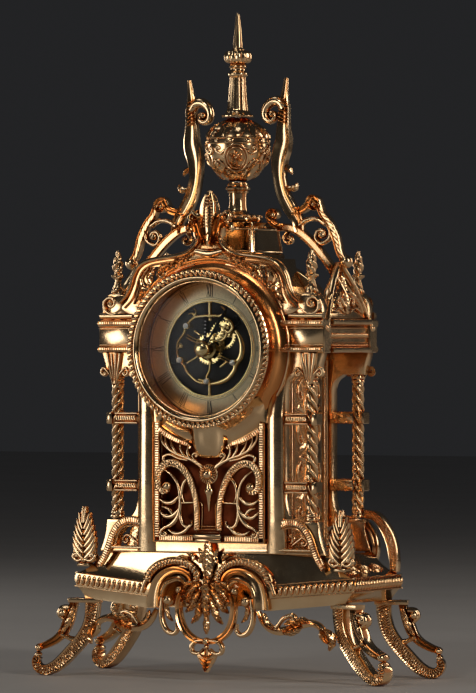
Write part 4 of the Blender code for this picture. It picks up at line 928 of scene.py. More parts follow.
# ---------------------------------------------------------------- grille and shield
def grille_half(grille, f):
    turn = mirror_turn(f, 1)
    grille.strap(f([(37.0, 90), (37.0, 126), (37.0, 163)]), 1.9, CHANNEL, 1.3, 0.4, **HATCHED)
    grille.strap(f([(11, 89.6), (35, 89.6)]), 2.2, CHANNEL, 1.3, 0.4, **HATCHED)
    upper = f([(36.6, 160.4)] + arc(CENTRE, 62.2, -53, -75, 3) + [(13.0, 147.0)])
    grille.strap(upper, [2.0, 2.0, 1.7, 1.2], CHANNEL, 1.4, 0.4, **HATCHED)
    strap = f([(8.0, 95), (8.0, 105), (8.8, 114), (11.0, 122), (14.6, 129.4), (20, 135), (26.4, 137.2),
               (32.0, 135.4), (35.4, 130), (35.6, 123.6)])
    grille.scroll(strap, [2.0, 2.0, 2.2, 2.4, 2.6, 2.7, 2.6, 2.2, 1.9],
                  end=(f([(30.2, 122.8)])[0], -turn * 190), section=CHANNEL, height=2.4, base=0.6,
                  ribs=(1.6, 0.9, 0.5), step=0.27)
    grille.ball(f([(29.6, 122.4)])[0], 3.2, 3.6, 1.0, 16, 6)
    grille.strap(f([(31.6, 133), (26.6, 129.6), (22.4, 124), (20.8, 117), (20.6, 110), (22.4, 103.4),
                    (26.6, 98.6), (31.4, 96.4)]), [0.7, 1.0, 1.1, 1.2, 1.3, 1.6, 1.8, 1.2], ROUND, 2.0, 0.3)
    grille.scroll(f([(31.4, 96.4), (34.2, 94.2)]), [1.2, 1.0], end=(f([(31.6, 92.6)])[0], -turn * 230),
                  ball=1.6, section=ROUND, height=1.9, base=0.4)
    for path, halves, height, base in (
            ([(20.6, 110), (20.4, 103), (18.6, 98.4), (15, 96.6), (12, 98.6), (12.4, 101)],
             [1.0, 1.2, 1.3, 1.2, 1.0, 0.7], 1.9, 0.2),
            ([(9.8, 112.4), (20.6, 112.0)], 0.8, 1.5, 0.2),
            ([(20.8, 108.4), (25.6, 104), (31, 103.4), (35.4, 107)], [1.0, 1.8, 1.6, 0.6], 2.0, 0.4),
            ([(21.4, 116), (26, 112.4), (31, 112), (35.4, 114.6)], [1.0, 1.7, 1.5, 0.6], 2.0, 0.4),
            ([(25.6, 104.4), (28.6, 108), (33.4, 109.4)], [1.0, 1.3, 0.5], 1.9, 0.4),
            ([(13.4, 98), (18.4, 93.6), (24.6, 92.6), (29, 95)], [1.2, 1.5, 1.3, 0.6], 1.8, 0.2),
            ([(14.4, 129), (18.4, 124), (19.6, 117.6), (17.6, 112)], [1.0, 1.2, 1.1, 0.6], 1.7, 0.2),
            ([(3.6, 133.6), (8, 137), (15, 140.4), (23, 143), (29.4, 146.6), (33.4, 151.4), (34.4, 157)],
             [1.6, 1.5, 1.4, 1.3, 1.2, 1.0, 0.7], 2.0, 0.4)):
        grille.strap(f(path), halves, ROUND, height, base)
    for root, middle, tip in (((13, 139.6), (15.2, 144), (14.4, 149.4)),
                              ((17, 141.2), (20, 146), (20.4, 150.6)),
                              ((22, 142.6), (25.4, 147), (27.4, 152)),
                              ((27.6, 145.4), (30.4, 149.6), (31.4, 154.8))):
        grille.strap(f([root, middle, tip]), [1.0, 1.2, 0.8, 0.3], ROUND, 2.0, 0.4)
    grille.scroll(f([(15, 139), (22, 140.4), (28, 142.6), (32.2, 141.4)]), [1.0, 1.2, 1.0],
                  end=(f([(30.6, 139.4)])[0], -turn * 150), section=ROUND, height=1.8, base=0.4)
    grille.scroll(f([(5, 135.4), (8.6, 138.2), (11.4, 141.4)]), [0.9, 0.9],
                  end=(f([(9.2, 142)])[0], turn * 270), ball=1.0, section=ROUND, height=1.8, base=0.6)
    grille.strap(f([(5.0, 96), (5.0, 111.4), (9.4, 112)]), 0.5, ROUND, 1.4, 0.4)


def make_grille():
    grille = Relief()
    grille_half(grille, same)
    grille_half(grille, flip)
    rosette = (0, 130.4)
    for i in range(22):
        a = 2 * math.pi * i / 22
        grille.strap([(rosette[0] + 3.4 * math.cos(a), rosette[1] + 3.4 * math.sin(a)),
                      (rosette[0] + 5.9 * math.cos(a), rosette[1] + 5.9 * math.sin(a))], 0.62, ROUND, 1.6,
                      2.0,
                     smoothed=False)
    dish = Relief()
    dish.lathe([(6.4, 0.4), (6.4, 1.6), (5.6, 2.4), (3.6, 2.6), (3.2, 3.4), (0.2, 3.6)], 28, smoothed=False)
    grille.take(dish, standing(*rosette))
    grille.ball(rosette, 3.5, 4.0, 2.6, 20, 7)
    grille.ball((0, 119.6), 3.4, 3.0, 0.6, 14)
    grille.strap([(0, 126), (0, 121), (0, 114), (0, 107)], [1.2, 2.6, 1.3, 0.5], ROUND,
                 [2.2, 3.0, 2.0, 1.2], 0.4)
    for inset, z in ((8.4, 93.6), (7.4, 95.6), (6.4, 97.4)):
        grille.strap([(-inset, z + 4), (-inset, z), (inset, z), (inset, z + 4)], 0.55, ROUND, 1.7, 0.5,
                     smoothed=False)
    grille.block((-9.2, 87.2, -0.5), (9.2, 89.8, 3.4), 0.4)
    grille.block((-9.8, 89.9, -0.5), (9.8, 92.6, 4.2), 0.5)
    grille.strap([(-39, 87.6), (39, 87.6)], 0.7, ROUND, 1.8, 0.0)
    for s in (-1, 1):
        grille.strap([(s * 38.6, 87.4), (s * 38.6, 162.6)], 0.6, ROUND, 1.8, 0.0)
    grille.make("grille_tracery", front(GRILLE_BACK - 1.4), stands_for=["front_grille"])


def make_shield():
    """Smooth cove that sweeps down from the drum and ends in a rounded nose over the grille."""
    edge, nose = 40.2, 12.4
    rows = []
    angles = np.radians(np.linspace(-145, -35, 141))
    for k in range(22):
        t = k / 21
        row = []
        for a in angles:
            inner = DRUM_R - 0.6
            outer = min(61.6, edge / max(abs(math.cos(a)), 0.01))
            side_step = abs(outer * math.cos(a))
            outer += 8.6 / (1 + (side_step / 9.8) ** 6)
            r = inner + (outer - inner) * t
            x = r * math.cos(a)
            cove = (11.5 * (1 - t) ** 2.4 + 0.8) * min(1.0, (outer - inner) / 6)
            bulge = 11.4 * math.sqrt(max(0.0, 1 - (x / nose) ** 2)) * math.sqrt(max(0.0, 1 - t ** 3))
            row.append((x, DIAL_Z + r * math.sin(a), (cove ** 4 + bulge ** 4) ** 0.25))
        rows.append(row)
    shield = Relief()
    last = [(u, v, -3.2) for u, v, _ in rows[-1]]
    shield.grid(rows + [last], ring=False, caps=False)
    shield.make("shield_tongue", front(-FACE_Y - 0.2), GILT_SMOOTH)
    # Painted shade: a near-black plate behind the grille stands in for the dark inside of the case.
    shade_plate = Relief()
    shade_plate.slab([[(-36, 89), (36, 89), (36, 166)] + arc(CENTRE, 58, -50, -130, 4) + [(-36, 166)]], -0.5,
                 0.5, 0.2)
    shade_plate.make("grille_backing", front(-28.8), SHADE_SHEET)


# ---------------------------------------------------------------- crest over the dial
def crest_half(crest, f):
    turn = mirror_turn(f, 1)
    line = f([(7.4, 291.6), (6.6, 284), (8.6, 277), (14, 271.6), (22, 268.6), (33, 267.2), (43.6, 265.4),
              (50, 262), (53.8, 256.6), (56, 250), (59.2, 243.4), (64, 239)])
    crest.strap(line, [1.2, 1.4, 1.5, 1.6, 1.6, 1.6, 1.6, 1.6, 1.5, 1.4, 1.2], ROUND, 3.4, 0)
    inner = f([(5.0, 281), (6.4, 275), (11.6, 269.4), (20, 265.6), (31, 264.2), (41.6, 262.4),
               (47.6, 258.8), (50.6, 253), (52.4, 246.6), (55.6, 240.4), (60.6, 235.6)])
    crest.strap(inner, 0.8, ROUND, 2.4, 0)
    crest.scroll(f([(6.6, 286), (8.0, 292), (11.6, 295.8)]), [1.2, 1.4, 1.4],
                 end=(f([(11.2, 292.2)])[0], -turn * 250), ball=1.5, section=ROUND, height=3.2)
    for spine, width in (([(14, 269), (21, 263.6), (27, 262.4)], 3.0),
                         ([(28, 263.4), (34.6, 259.4), (36.6, 254)], 3.2),
                         ([(40, 261.6), (42.6, 255), (41, 250)], 3.0),
                         ([(49, 255), (47.6, 247.6), (50.4, 241)], 3.0),
                         ([(22, 266.8), (30, 260.4), (37.6, 259.4)], 2.2)):
        crest.leaf(f(spine), width, 4, 2.2, 0.4, 0.5)
    crest.scroll(f([(24, 261), (30, 262.6), (35.6, 259.6)]), [1.0, 1.2],
                 end=(f([(32.4, 257.4)])[0], -turn * 240), ball=1.2, section=ROUND, height=2.6)
    crest.scroll(f([(43, 261), (47.6, 254.6), (46.4, 248.6)]), [1.0, 1.2],
                 end=(f([(43.6, 250.2)])[0], -turn * 240), ball=1.2, section=ROUND, height=2.6)


def make_crest():
    crest = Relief()
    crest_half(crest, same)
    crest_half(crest, flip)
    crest.strap([(0, 279), (0, 287), (0, 296), (0, 304), (0, 309.4)], [3.0, 4.2, 4.8, 4.4, 1.6], ROUND,
                [3.4, 3.8, 3.6, 1.6], 0.2)
    crest.beads([(0, 286), (0, 307)], 1.0, 2.1, 1.2, 3.6)
    for s in (-1, 1):
        crest.beads([(s * 2.5, 286), (s * 2.8, 296), (s * 1.7, 305)], 0.9, 1.9, 1.1, 2.9)
        for k in range(3):
            out = 3.4 + 2.6 * k
            crest.scroll([(s * (1.8 + k), 275.4), (s * out, 282 - k), (s * (out + 1.6), 289 - 1.6 * k),
                          (s * (out + 4.4), 293.2 - 2.4 * k)], [1.2, 1.9, 1.8, 1.3],
                         end=((s * (out + 5.2), 290.4 - 2.5 * k), -s * 220), section=RIDGE,
                         height=4.2 - 0.5 * k, base=0.6)
    crest.leaf([(0, 274), (0, 278.6), (0, 283)], 3.0, 3, 3.2, 1.8, 0.4)
    crest.strap([(-9.6, 271.4), (0, 269.8), (9.6, 271.4)], [2.2, 3.4, 2.2], ROUND, 3.6, -0.4)
    crest.strap(arc(CENTRE, 57.2, 26, 154, 3), 0.9, ROUND, 2.4, -0.2)
    body = [(44.6, 231), (56, 231.4), (63, 235.4), (58.4, 241), (56, 249), (53.6, 259), (47.6, 265.4),
            (35, 267.4), (22, 268.6), (15, 272.4), (10, 278), (7, 285), (7, 298), (4, 306), (0, 309)]
    outer = smooth_path(body, 1.2).tolist()
    plate = [tuple(p) for p in arc(CENTRE, 56.4, 90, 26, 3)] + outer
    outline = plate + flip(reversed(plate[1:-1]))
    cuts = [[(11, 262.5), (19, 260.6), (25, 257.8), (26.4, 261.6), (20, 265), (12.4, 266.6)],
            [(30, 255.4), (36, 251), (41, 248.6), (44.6, 252.6), (44.6, 259), (38, 262.2), (31, 261.4)],
            [(47.6, 241), (50.4, 238), (54.6, 238), (51.6, 243.4), (50.4, 249), (48, 246)]]
    crest.slab([outline] + cuts + [flip(c) for c in cuts], -0.6, 0.9, 0.3)
    crest.make("crest_relief", front(sum(span("front_crest", 1)) / 2 + 0.9), stands_for=["front_crest"])


# ---------------------------------------------------------------- brackets
def bracket(s):
    """Scrolled bracket; the local u axis points away from the finial."""
    def f(points):
        return [(s * x, z) for x, z in points]

    b = Relief()
    thick = 3.4
    spine = [(34.8, 381.6), (34.0, 375), (33.2, 368), (33.4, 360), (32.8, 350), (32.8, 341), (30.2, 330),
             (30.0, 319), (32.6, 308), (37.4, 299), (42.6, 291.4), (44.4, 284)]
    b.strap(f(spine), [1.1, 2.2, 3.4, 3.8, 5.0, 5.8, 4.8, 3.8, 4.0, 4.2, 3.6, 2.8], COVE,
            [1.2, 2.4, thick, thick], 0, 0, ribs=None)
    for t in range(7):
        z = 368 - t * 2.4
        b.strap(f([(30.0, z + 1.2), (34.6, z - 0.6)]), 0.6, ROUND, thick * 1.02, 0, 0, smoothed=False)
    b.strap(f([(33.2, 362.4), (30.2, 366.4), (25.6, 367.0), (21.4, 364.2), (19.5, 359.6), (20.8, 355.6),
               (24.4, 354.4), (27.0, 356.8), (26.2, 359.8), (24.2, 360.0)]),
               [3.4, 3.4, 3.3, 3.1, 2.8, 2.5, 2.2, 1.8, 1.4, 1.0], ROUND,
            thick, 0, 0)
    b.ball(f([(24.5, 358.8)])[0], 2.3, 3.2, 0, 14, 6, True)
    b.leaf(f([(33, 326), (36.8, 324), (38.8, 320.6)]), 1.9, 2, 2.4, 0, 0.2, back=0)
    b.leaf(f([(33.6, 312), (37.6, 311.4), (41.2, 311.8), (42.2, 314.6)]), 2.2, 2, 2.4, 0, 0.2, back=0)
    b.scroll(f([(39.6, 297.4), (45.0, 297.4), (49.6, 299.8), (52.6, 304.8)]), [2.4, 2.2, 2.2, 2.0, 1.6],
             end=(f([(54.4, 301.0)])[0], -s * 300), ball=2.0, section=COVE, height=thick, back=0)
    b.strap(f([(58, 302), (60.4, 295.6), (65.2, 289.6), (69.6, 281), (72.2, 272), (75.4, 266)]),
            [1.6, 2.0, 2.4, 2.4, 2.0, 1.8], CHANNEL, thick, 0, 0, ribs=(1.5, 0.35, 0.8))
    b.strap(f([(44.4, 288), (50, 291.4), (57, 291.6), (62.4, 288.4)]), [1.7, 1.5, 1.6], ROUND, thick * 0.8,
            0, 0)
    b.scroll(f([(66.4, 285.6), (65.4, 279.4), (60, 276.2)]), [1.3, 1.4, 1.4],
             end=(f([(60.2, 281.6)])[0], -s * 300), ball=2.6, section=ROUND, height=thick * 0.8, back=0)
    b.strap(f([(28.6, 286.4), (35, 286.6), (42.4, 284.6), (50.4, 279), (58.6, 270.8), (66, 261.6),
               (71.4, 252.6), (77, 243.8)]), [2.2, 2.6, 2.8, 2.8, 2.6, 2.4, 2.2, 1.6], CHANNEL,
               thick * 0.95, 0, 0)
    b.scroll(f([(32.4, 287), (27.4, 288.4), (23.4, 292)]), [2.0, 1.9, 1.7],
             end=(f([(26.2, 294.6)])[0], -s * 280), ball=2.3, section=COVE, height=thick, back=0)
    b.scroll(f([(36, 283.6), (33.4, 279.8), (35.6, 277)]), [1.3, 1.2], end=(f([(37, 279.6)])[0], s * 220),
             ball=1.2, section=ROUND, height=thick * 0.8, back=0)
    b.ball(f([(77.0, 264.6)])[0], 4.2, 4.2, 0, 20, 8, True)
    b.strap(f([(70.4, 262), (77, 264.4)]), 1.6, ROUND, 2.4, 0, 0, smoothed=False)
    b.leaf(f([(66, 262.6), (68.6, 256), (67, 250)]), 2.4, 3, 2.2, 0, 0.4, back=0)
    return b


def make_brackets():
    both(lambda name, s: bracket(s).make(f"scroll_support_{name}", front(0),
                                         stands_for=[f"scroll_bracket_{name}"]))


# ---------------------------------------------------------------- sides and roof
def make_side_panels():
    """Framed panel with a climbing vine in low relief on each side wall."""
    low_z, high_z = BASE_TOP, CORNICE[0]

    def one(name, sign):
        panel = Relief()
        reach = 27.0
        for inset, half in ((1.8, 1.1), (5.4, 0.8)):
            a, b, c = reach - inset, low_z + 3 + inset, high_z - 3 - inset
            panel.strap([(-a, b), (a, b), (a, c), (-a, c), (-a, b)], half, ROUND, 1.4, -0.2, smoothed=False)
        panel.beads([(-reach + 3.6, low_z + 8), (-reach + 3.6, high_z - 8)], 0.8, 1.7, 0.9, -0.1)
        panel.beads([(reach - 3.6, low_z + 8), (reach - 3.6, high_z - 8)], 0.8, 1.7, 0.9, -0.1)
        middle = (low_z + high_z) / 2
        for s in (-1, 1):
            for up in (-1, 1):
                def g(points):
                    return [(s * u, middle + up * v) for u, v in points]

                turn = s * up
                panel.strap(g([(0.8, 2), (3.4, 12), (6.8, 22), (5.6, 33), (0.8, 42)]), [0.7, 0.9, 0.9, 0.6],
                            ROUND, 1.1, -0.2)
                panel.scroll(g([(1.6, 44), (8, 47), (14, 43.4), (15.4, 37)]), [0.7, 0.9, 0.8],
                             end=(g([(11.4, 37.2)])[0], -turn * 280), ball=1.2, section=ROUND, height=1.1,
                             base=-0.2)
                panel.scroll(g([(7.4, 24), (13, 20.6), (16.4, 14), (14.6, 7.6)]), [0.7, 0.9, 0.8],
                             end=(g([(11.0, 9.2)])[0], -turn * 280), ball=1.2, section=ROUND, height=1.1,
                             base=-0.2)
                panel.leaf(g([(7.6, 26), (12.6, 29), (17.6, 28.4)]), 2.2, 4, 0.9, -0.1, 0.25)
                panel.leaf(g([(4, 6), (8.8, 3.4), (13.6, 2.6)]), 2.0, 3, 0.9, -0.1, 0.25)
                panel.leaf(g([(2, 49), (7.6, 52), (13.6, 51)]), 2.0, 3, 0.9, -0.1, 0.25)
        for up in (-1, 1):
            panel.leaf([(0, middle + up * 6), (0, middle + up * 18), (0, middle + up * 36)], 2.6, 5, 1.1,
                       -0.1, 0.3)
        panel.make(f"side_relief_{name}", side(sign, 50.2))

    both(one)


def make_side_cornices():
    def one(name, sign):
        cornice = Relief()
        for z, half, height, base in ((208.8, 1.8, 1.8, 0), (226.4, 1.8, 1.8, 0), (213.2, 0.5, 0.9, -2.0),
                                      (222.6, 0.5, 0.9, -2.0)):
            cornice.strap([(-27.6, z), (27.6, z)], half, ROUND, height, base)
        cornice.beads([(-27, 217.8), (27, 217.8)], 1.1, 2.3, 1.5, -2.1, 1.9, 32)
        cornice.beads([(-27, 211.8), (27, 211.8)], 0.6, 1.3, 0.8, -0.9)
        cornice.make(f"cornice_relief_{name}", side(sign, 80))
        leaning = Matrix.Translation((sign * 76, 0, 228.8)) @ Matrix.Rotation(sign * math.radians(-9), 4,
                "Y")
        gable_relief().make(f"side_gable_{name}", leaning @ side(sign, 0),
                            stands_for=[f"side_crest_{name}"])

    both(one)


def gable_relief():
    """Side gable: leafy openwork between two sloping bars that end in curls."""
    gable = Relief()
    outline = [(-27.4, 0.2), (27.4, 0.2), (26.5, 8), (21.6, 17), (13, 24.4), (5, 29.6), (0, 32.4),
               (-5, 29.6), (-13, 24.4), (-21.6, 17), (-26.5, 8)]
    for s in (-1, 1):
        gable.strap([(s * 1.0, 34.6), (s * 7, 29), (s * 14.6, 21.4), (s * 22, 11.6), (s * 28.6, 0.4),
                     (s * 31.6, -5.6)],
                    [1.6, 1.5, 1.4, 1.4], ROUND, 2.6, 1.0, 0)
        gable.ball((s * 32.4, -6.6), 2.6, 2.8, 1.6, 14, 6, True)
        gable.scroll([(s * 30, -2.4), (s * 34.6, -1.4)], [1.1, 1.0], end=((s * 34.2, -3.8), -s * 220),
                     section=ROUND, height=2.0, base=0.6)
        gable.leaf([(s * 22, 3), (s * 17.6, 10), (s * 9, 15.6), (s * 4.4, 21)], 3.0, 6, 2.0, 1.2, 0.5)
        gable.leaf([(s * 24.6, 4), (s * 21, 13), (s * 13, 20.6)], 2.2, 6, 1.8, 1.4, 0.5)
        gable.strap([(s * 4, 3.4), (s * 12, 6.4), (s * 19.4, 4.0)], 1.0, ROUND, 1.8, 1.0)
        gable.scroll([(s * 2.4, 8), (s * 6.6, 12.4)], [1.2, 1.0], end=((s * 9.2, 9.6), -s * 240), ball=1.4,
                     section=ROUND, height=2.0, base=0.8)
    gable.leaf([(0, 2), (0, 10), (0, 22), (0, 29)], 3.4, 6, 2.2, 1.4, 0.5)
    opening = [(20, 3.6), (22.6, 8), (18.4, 15.6), (11, 22), (5, 25.4), (3.6, 17), (7.4, 9), (13, 4.6)]
    gable.slab([outline, opening, flip(opening)], -1.6, 1.4, 0.5, detail=1.5)
    return gable


def make_roof():
    low_y, high_y = span("roof_shell", 1)
    radius = 51.0
    roof = Relief()
    half = arc(CENTRE, radius, 15, 51, 3) + smooth_path([(32.1, 249.1), (29.2, 254.4), (27.4, 260),
            (26.5, 267)],
                                                        1.5).tolist()
    outline = [tuple(p) for p in half] + flip(reversed(half)) + arc(CENTRE, radius - 3, 165, 15, 4)
    roof.slab([outline], low_y, high_y, 0.4)
    roof.make("roof_barrel", standing(), GILT_SMOOTH, stands_for=["roof_shell"])


# ---------------------------------------------------------------- pedestal, urn and spire
def make_pedestal():
    low, high = span("pedestal", 2)
    pedestal = Relief()
    profile = [(low, 22.4), (low + 2.2, 22.4), (low + 3, 21.6), (low + 3.6, 21.4), (high - 4.4, 19.7),
               (high - 3.6, 19.8), (high - 2.8, 20.8), (high - 0.4, 20.8), (high, 20.2)]
    rows = []
    for z, r in profile:
        k = 0.8
        rows.append([(-r + k, -r, z), (r - k, -r, z), (r, -r + k, z), (r, r - k, z), (r - k, r, z),
                     (-r + k, r, z), (-r, r - k, z), (-r, -r + k, z)])
    pedestal.grid(rows)
    slope = math.atan2(1.7, high - low - 8)
    panel = Relief()
    a, b, c = 19.4, low + 3.6, high - 4.2
    panel.strap([(-a, b), (a, b), (a - 1.6, c), (-a + 1.6, c), (-a, b)], 1.1, ROUND, 1.2, -0.2,
                smoothed=False)
    for turn in range(4):
        lean = Matrix.Translation((0, -21.2, low + 3.6)) @ Matrix.Rotation(-slope, 4, "X")
        pedestal.take(panel, Matrix.Rotation(turn * math.pi / 2, 4, "Z") @ lean
                      @ Matrix.Translation((0, 0, -low - 3.6)) @ front(0))
    pedestal.make("pedestal_block", material=GILT_SMOOTH, stands_for=["pedestal"])


def wrap(relief, radius_at, height_of):
    """Bend a flat relief round the finial: u becomes the angle, v the height, h stands off the surface."""
    bent = []
    for u, v, h in relief.points:
        r = radius_at(v) + h
        angle = u / max(radius_at(v), 1.0)
        bent.append((r * math.sin(angle), height_of(v), -r * math.cos(angle)))
    relief.points = bent


def turn_about_axis(relief, angle):
    cosine, sine = math.cos(angle), math.sin(angle)
    relief.points = [(x * cosine - z * sine, v, x * sine + z * cosine) for x, v, z in relief.points]


def medallion():
    """Oval cartouche with a rosette, scrolls and leaf sprays."""
    m = Relief()
    ring = [(7.4 * math.cos(a), 14.6 + 8.8 * math.sin(a)) for a in np.linspace(0, 2 * math.pi, 16,
            endpoint=False)]
    m.strap(ring, 0.9, ROUND, 1.6, -0.3, closed=True)
    m.strap([(x * 0.76, 14.6 + (z - 14.6) * 0.76) for x, z in ring], 0.6, ROUND, 1.3, -0.3, closed=True)
    for i in range(6):
        a = math.radians(60 * i + 30)
        m.leaf([(0.6 * math.cos(a), 14.6 + 0.6 * math.sin(a)),
                (2.4 * math.cos(a), 14.6 + 2.6 * math.sin(a)),
                (4.2 * math.cos(a + 0.2), 14.6 + 5.0 * math.sin(a + 0.2))], 1.4, 3, 1.6, -0.1, 0.3)
    m.ball((0, 14.6), 1.3, 2.0)
    for s in (-1, 1):
        m.scroll([(s * 7.0, 8.6), (s * 9.6, 11.4), (s * 12.4, 13.4)], [0.9, 1.0, 0.8],
                 end=((s * 12.4, 11.0), -s * 260), ball=0.9, section=ROUND, height=1.3, base=-0.2)
        m.scroll([(s * 7.2, 19.6), (s * 10, 17.4), (s * 13, 18.4)], [1.0, 0.9],
                 end=((s * 11.8, 20.4), s * 260), ball=0.9, section=ROUND, height=1.3, base=-0.2)
        m.leaf([(s * 1.4, 4.0), (s * 4.4, 4.6), (s * 7.4, 8.0)], 1.5, 4, 1.2, -0.2, 0.3)
    m.leaf([(0, 1.2), (0, 3.2), (0, 5.6)], 1.7, 3, 1.3, -0.2, 0.3)
    return m


def make_urn():
    low = span("urn", 2)[0]
    profile = [(5.2, 0.0), (9.0, 1.8), (11.8, 4.0), (15.0, 7.4), (17.8, 12.0), (19.3, 16.6), (20.0, 21.2),
               (20.0, 25.0), (18.6, 30.0), (16.2, 33.4), (12.2, 36.6), (8.8, 38.6), (6.6, 40.4)]
    heights = [h for _, h in profile]
    radii = [r for r, _ in profile]

    def radius_at(v):
        return float(np.interp(v, heights, radii))

    urn = Relief()
    urn.lathe([(r, low + h) for r, h in profile], 72, step=0.7)
    for z, r in ((27.6, 20.0), (24.2, 20.7)):
        urn.lathe([(r - 1.4, low + z - 0.7), (r - 0.1, low + z - 0.5), (r + 0.2, low + z),
                   (r - 0.1, low + z + 0.5), (r - 1.6, low + z + 0.7)], 72, smoothed=False)
    for i in range(4):
        part = medallion()
        wrap(part, radius_at, lambda v: low + v)
        turn_about_axis(part, i * math.pi / 2 + math.radians(23))
        urn.take(part, Matrix.Identity(4))
    for i in range(12):
        petal = Relief()
        petal.leaf([(0, 27.6), (0, 30.6), (0.6, 34), (0, 38.6)], 3.2, 4, 1.7, -0.1, 0.4)
        wrap(petal, radius_at, lambda v: low + v)
        turn_about_axis(petal, i * math.pi / 6)
        urn.take(petal, Matrix.Identity(4))
        drop = Relief()
        drop.ball((0, 25.8), 1.7, 1.2, 0.2, 10, 4)
        wrap(drop, radius_at, lambda v: low + v)
        turn_about_axis(drop, (i + 0.5) * math.pi / 6)
        urn.take(drop, Matrix.Identity(4))
    urn.make("urn_bowl", standing(), stands_for=["urn"])

    stem_low, stem_high = span("urn_stem", 2)
    stem = Relief()
    stem.lathe([(15.2, 0), (16.0, 1.4), (15.6, 3.0), (13.6, 4.6), (9.8, 5.2), (7.0, 6.6), (6.0, 9.6),
                (5.7, 14.0), (6.0, 18.6)], 48, 8, 0.05, 0, 0.5)
    for z, r in ((19.6, 7.0), (21.6, 8.2), (23.8, 7.2)):
        stem.lathe([(r - 2.4, z - 1.1), (r - 0.4, z - 0.9), (r, z), (r - 0.4, z + 0.9), (r - 2.4, z + 1.1)],
                   40, smoothed=False)
    stem.lathe([(5.8, 18.0), (5.8, 25.4)], 40, smoothed=False)
    for i in range(20):
        a = 2 * math.pi * i / 20
        stem.ball((14.6 * math.cos(a), 3.4), 1.25, 1.25, 14.6 * math.sin(a), 8, 4, True)
    stem.points = [(x, v + stem_low, z) for x, v, z in stem.points]
    stem.make("urn_collar", standing(), stands_for=["urn_stem"])


def make_spire():
    low = span("spire", 2)[0]
    height = FINIAL_TOP - low
    spire = Relief()
    spire.lathe([(10.2, low), (10.4, low + 1.0), (8.6, low + 2.4), (7.2, low + 4.2), (6.6, low + 8),
                 (5.9, low + 16), (5.3, low + 25.4)], 64, 12, 0.09, 0, 0.6)
    spire.lathe([(4.8, low + 25), (6.3, low + 26.6), (6.5, low + 28.0), (5.2, low + 29.4), (4.8, low + 31),
                 (5.9, low + 32.2), (5.2, low + 33.6), (4.4, low + 34.6)], 48, step=0.4)
    spire.lathe([(4.4, low + 34.2), (7.0, low + 34.7), (8.5, low + 36.1), (9.0, low + 38.5),
                 (8.5, low + 40.9), (7.0, low + 42.3), (4.6, low + 42.8), (2.6, low + 42.9)], 96, 12, 0.10,
                 0, 0.4)
    spire.lathe([(4.4, low + 42.4), (4.2, low + 43.4), (3.4, low + 44.4), (3.1, low + 47), (2.3, low + 56),
                 (1.5, low + height - 4.0), (1.2, low + height - 1.2), (0.3, low + height)], 32, step=0.6)
    spire.make("fluted_spire", standing(), stands_for=["spire"])


# ---------------------------------------------------------------- drum, bezel, glass and dial
DIAL_AXIS = Matrix.Translation((0, 0, DIAL_Z))


def make_drum():
    """Turned drum that flares into a broad flange on the front plate."""
    drum = Relief()
    back = span("dial_drum", 1)[1]
    flare = smooth_path([(DRUM_R - 0.2, DRUM_FRONT + 0.4), (DRUM_R - 0.1, DRUM_FRONT + 2.6),
                         (DRUM_R - 1.2, DRUM_FRONT + 4.6), (DRUM_R - 0.9, DRUM_FRONT + 8.4),
                         (DRUM_R + 0.8, DRUM_FRONT + 11.8), (DRUM_R + 3.2, DRUM_FRONT + 14.2),
                         (DRUM_R + 6.6, DRUM_FRONT + 15.4)], 0.8).tolist()
    profile = [(BORE_R, DRUM_FRONT)] + [(DRUM_R - 0.8, DRUM_FRONT)] + flare
    profile += [(DRUM_R + 6.8, -37.9), (DRUM_R - 0.2, -37.7), (DRUM_R - 0.2, back), (BORE_R, back)]
    drum.hoop(profile, 96)
    # The drum wears the redder gilt copy, which paints warm interreflection into its colour.
    drum.make("drum_shell", DIAL_AXIS, GILT_INTERREFLECTION, stands_for=["dial_drum"], sharp=30)


def make_bezel():
    bezel = Relief()
    face = BEZEL_FRONT
    back = span("bezel", 1)[1]
    cove = smooth_path([(46.2, face + 1.2), (45.0, face + 0.5), (44.2, face + 0.9), (43.4, face + 1.9),
                        (42.7, face + 3.6)],
                       0.4).tolist()
    profile = [(42.4, back), (BEZEL_R - 0.1, back), (BEZEL_R, face + 2.2), (BEZEL_R - 0.6, face + 1.5),
               (46.6, face + 1.5)] + cove
    bezel.hoop(profile, 128)
    bezel.make("bezel_ring", DIAL_AXIS, GILT_SMOOTH, stands_for=["bezel"])
    rope = Relief()
    circle = arc(CENTRE, 48.3, 0, 354, 4)
    rope.beads(circle, 1.22, 3.6, 1.46, 0.0, 2.1, 38, closed=True, sides=14)
    rope.make("bezel_rope", front(face + 1.5))


DOME_TOP = -57.05


def make_glass_dome():
    """A thin watch glass: two smooth spherical faces."""
    edge, rise, thick = 43.2, 3.4, 1.1
    ball = (edge ** 2 + rise ** 2) / (2 * rise)
    dome = Relief()
    radii = np.linspace(0.05, edge, 22)
    outer = [(r, DOME_TOP + ball - math.sqrt(ball ** 2 - r ** 2)) for r in radii]
    inner = [(r * 0.998, y + thick) for r, y in reversed(outer)]
    dome.lathe(outer + inner, 96, smoothed=False)
    dome.make("watch_glass", DIAL_AXIS, GLASS, slot="glass", stands_for=["dial_glass"], sharp=60)


NUMERALS = ("XII", "I", "II", "III", "IV", "V", "VI", "VII", "VIII", "IX", "X", "XI")


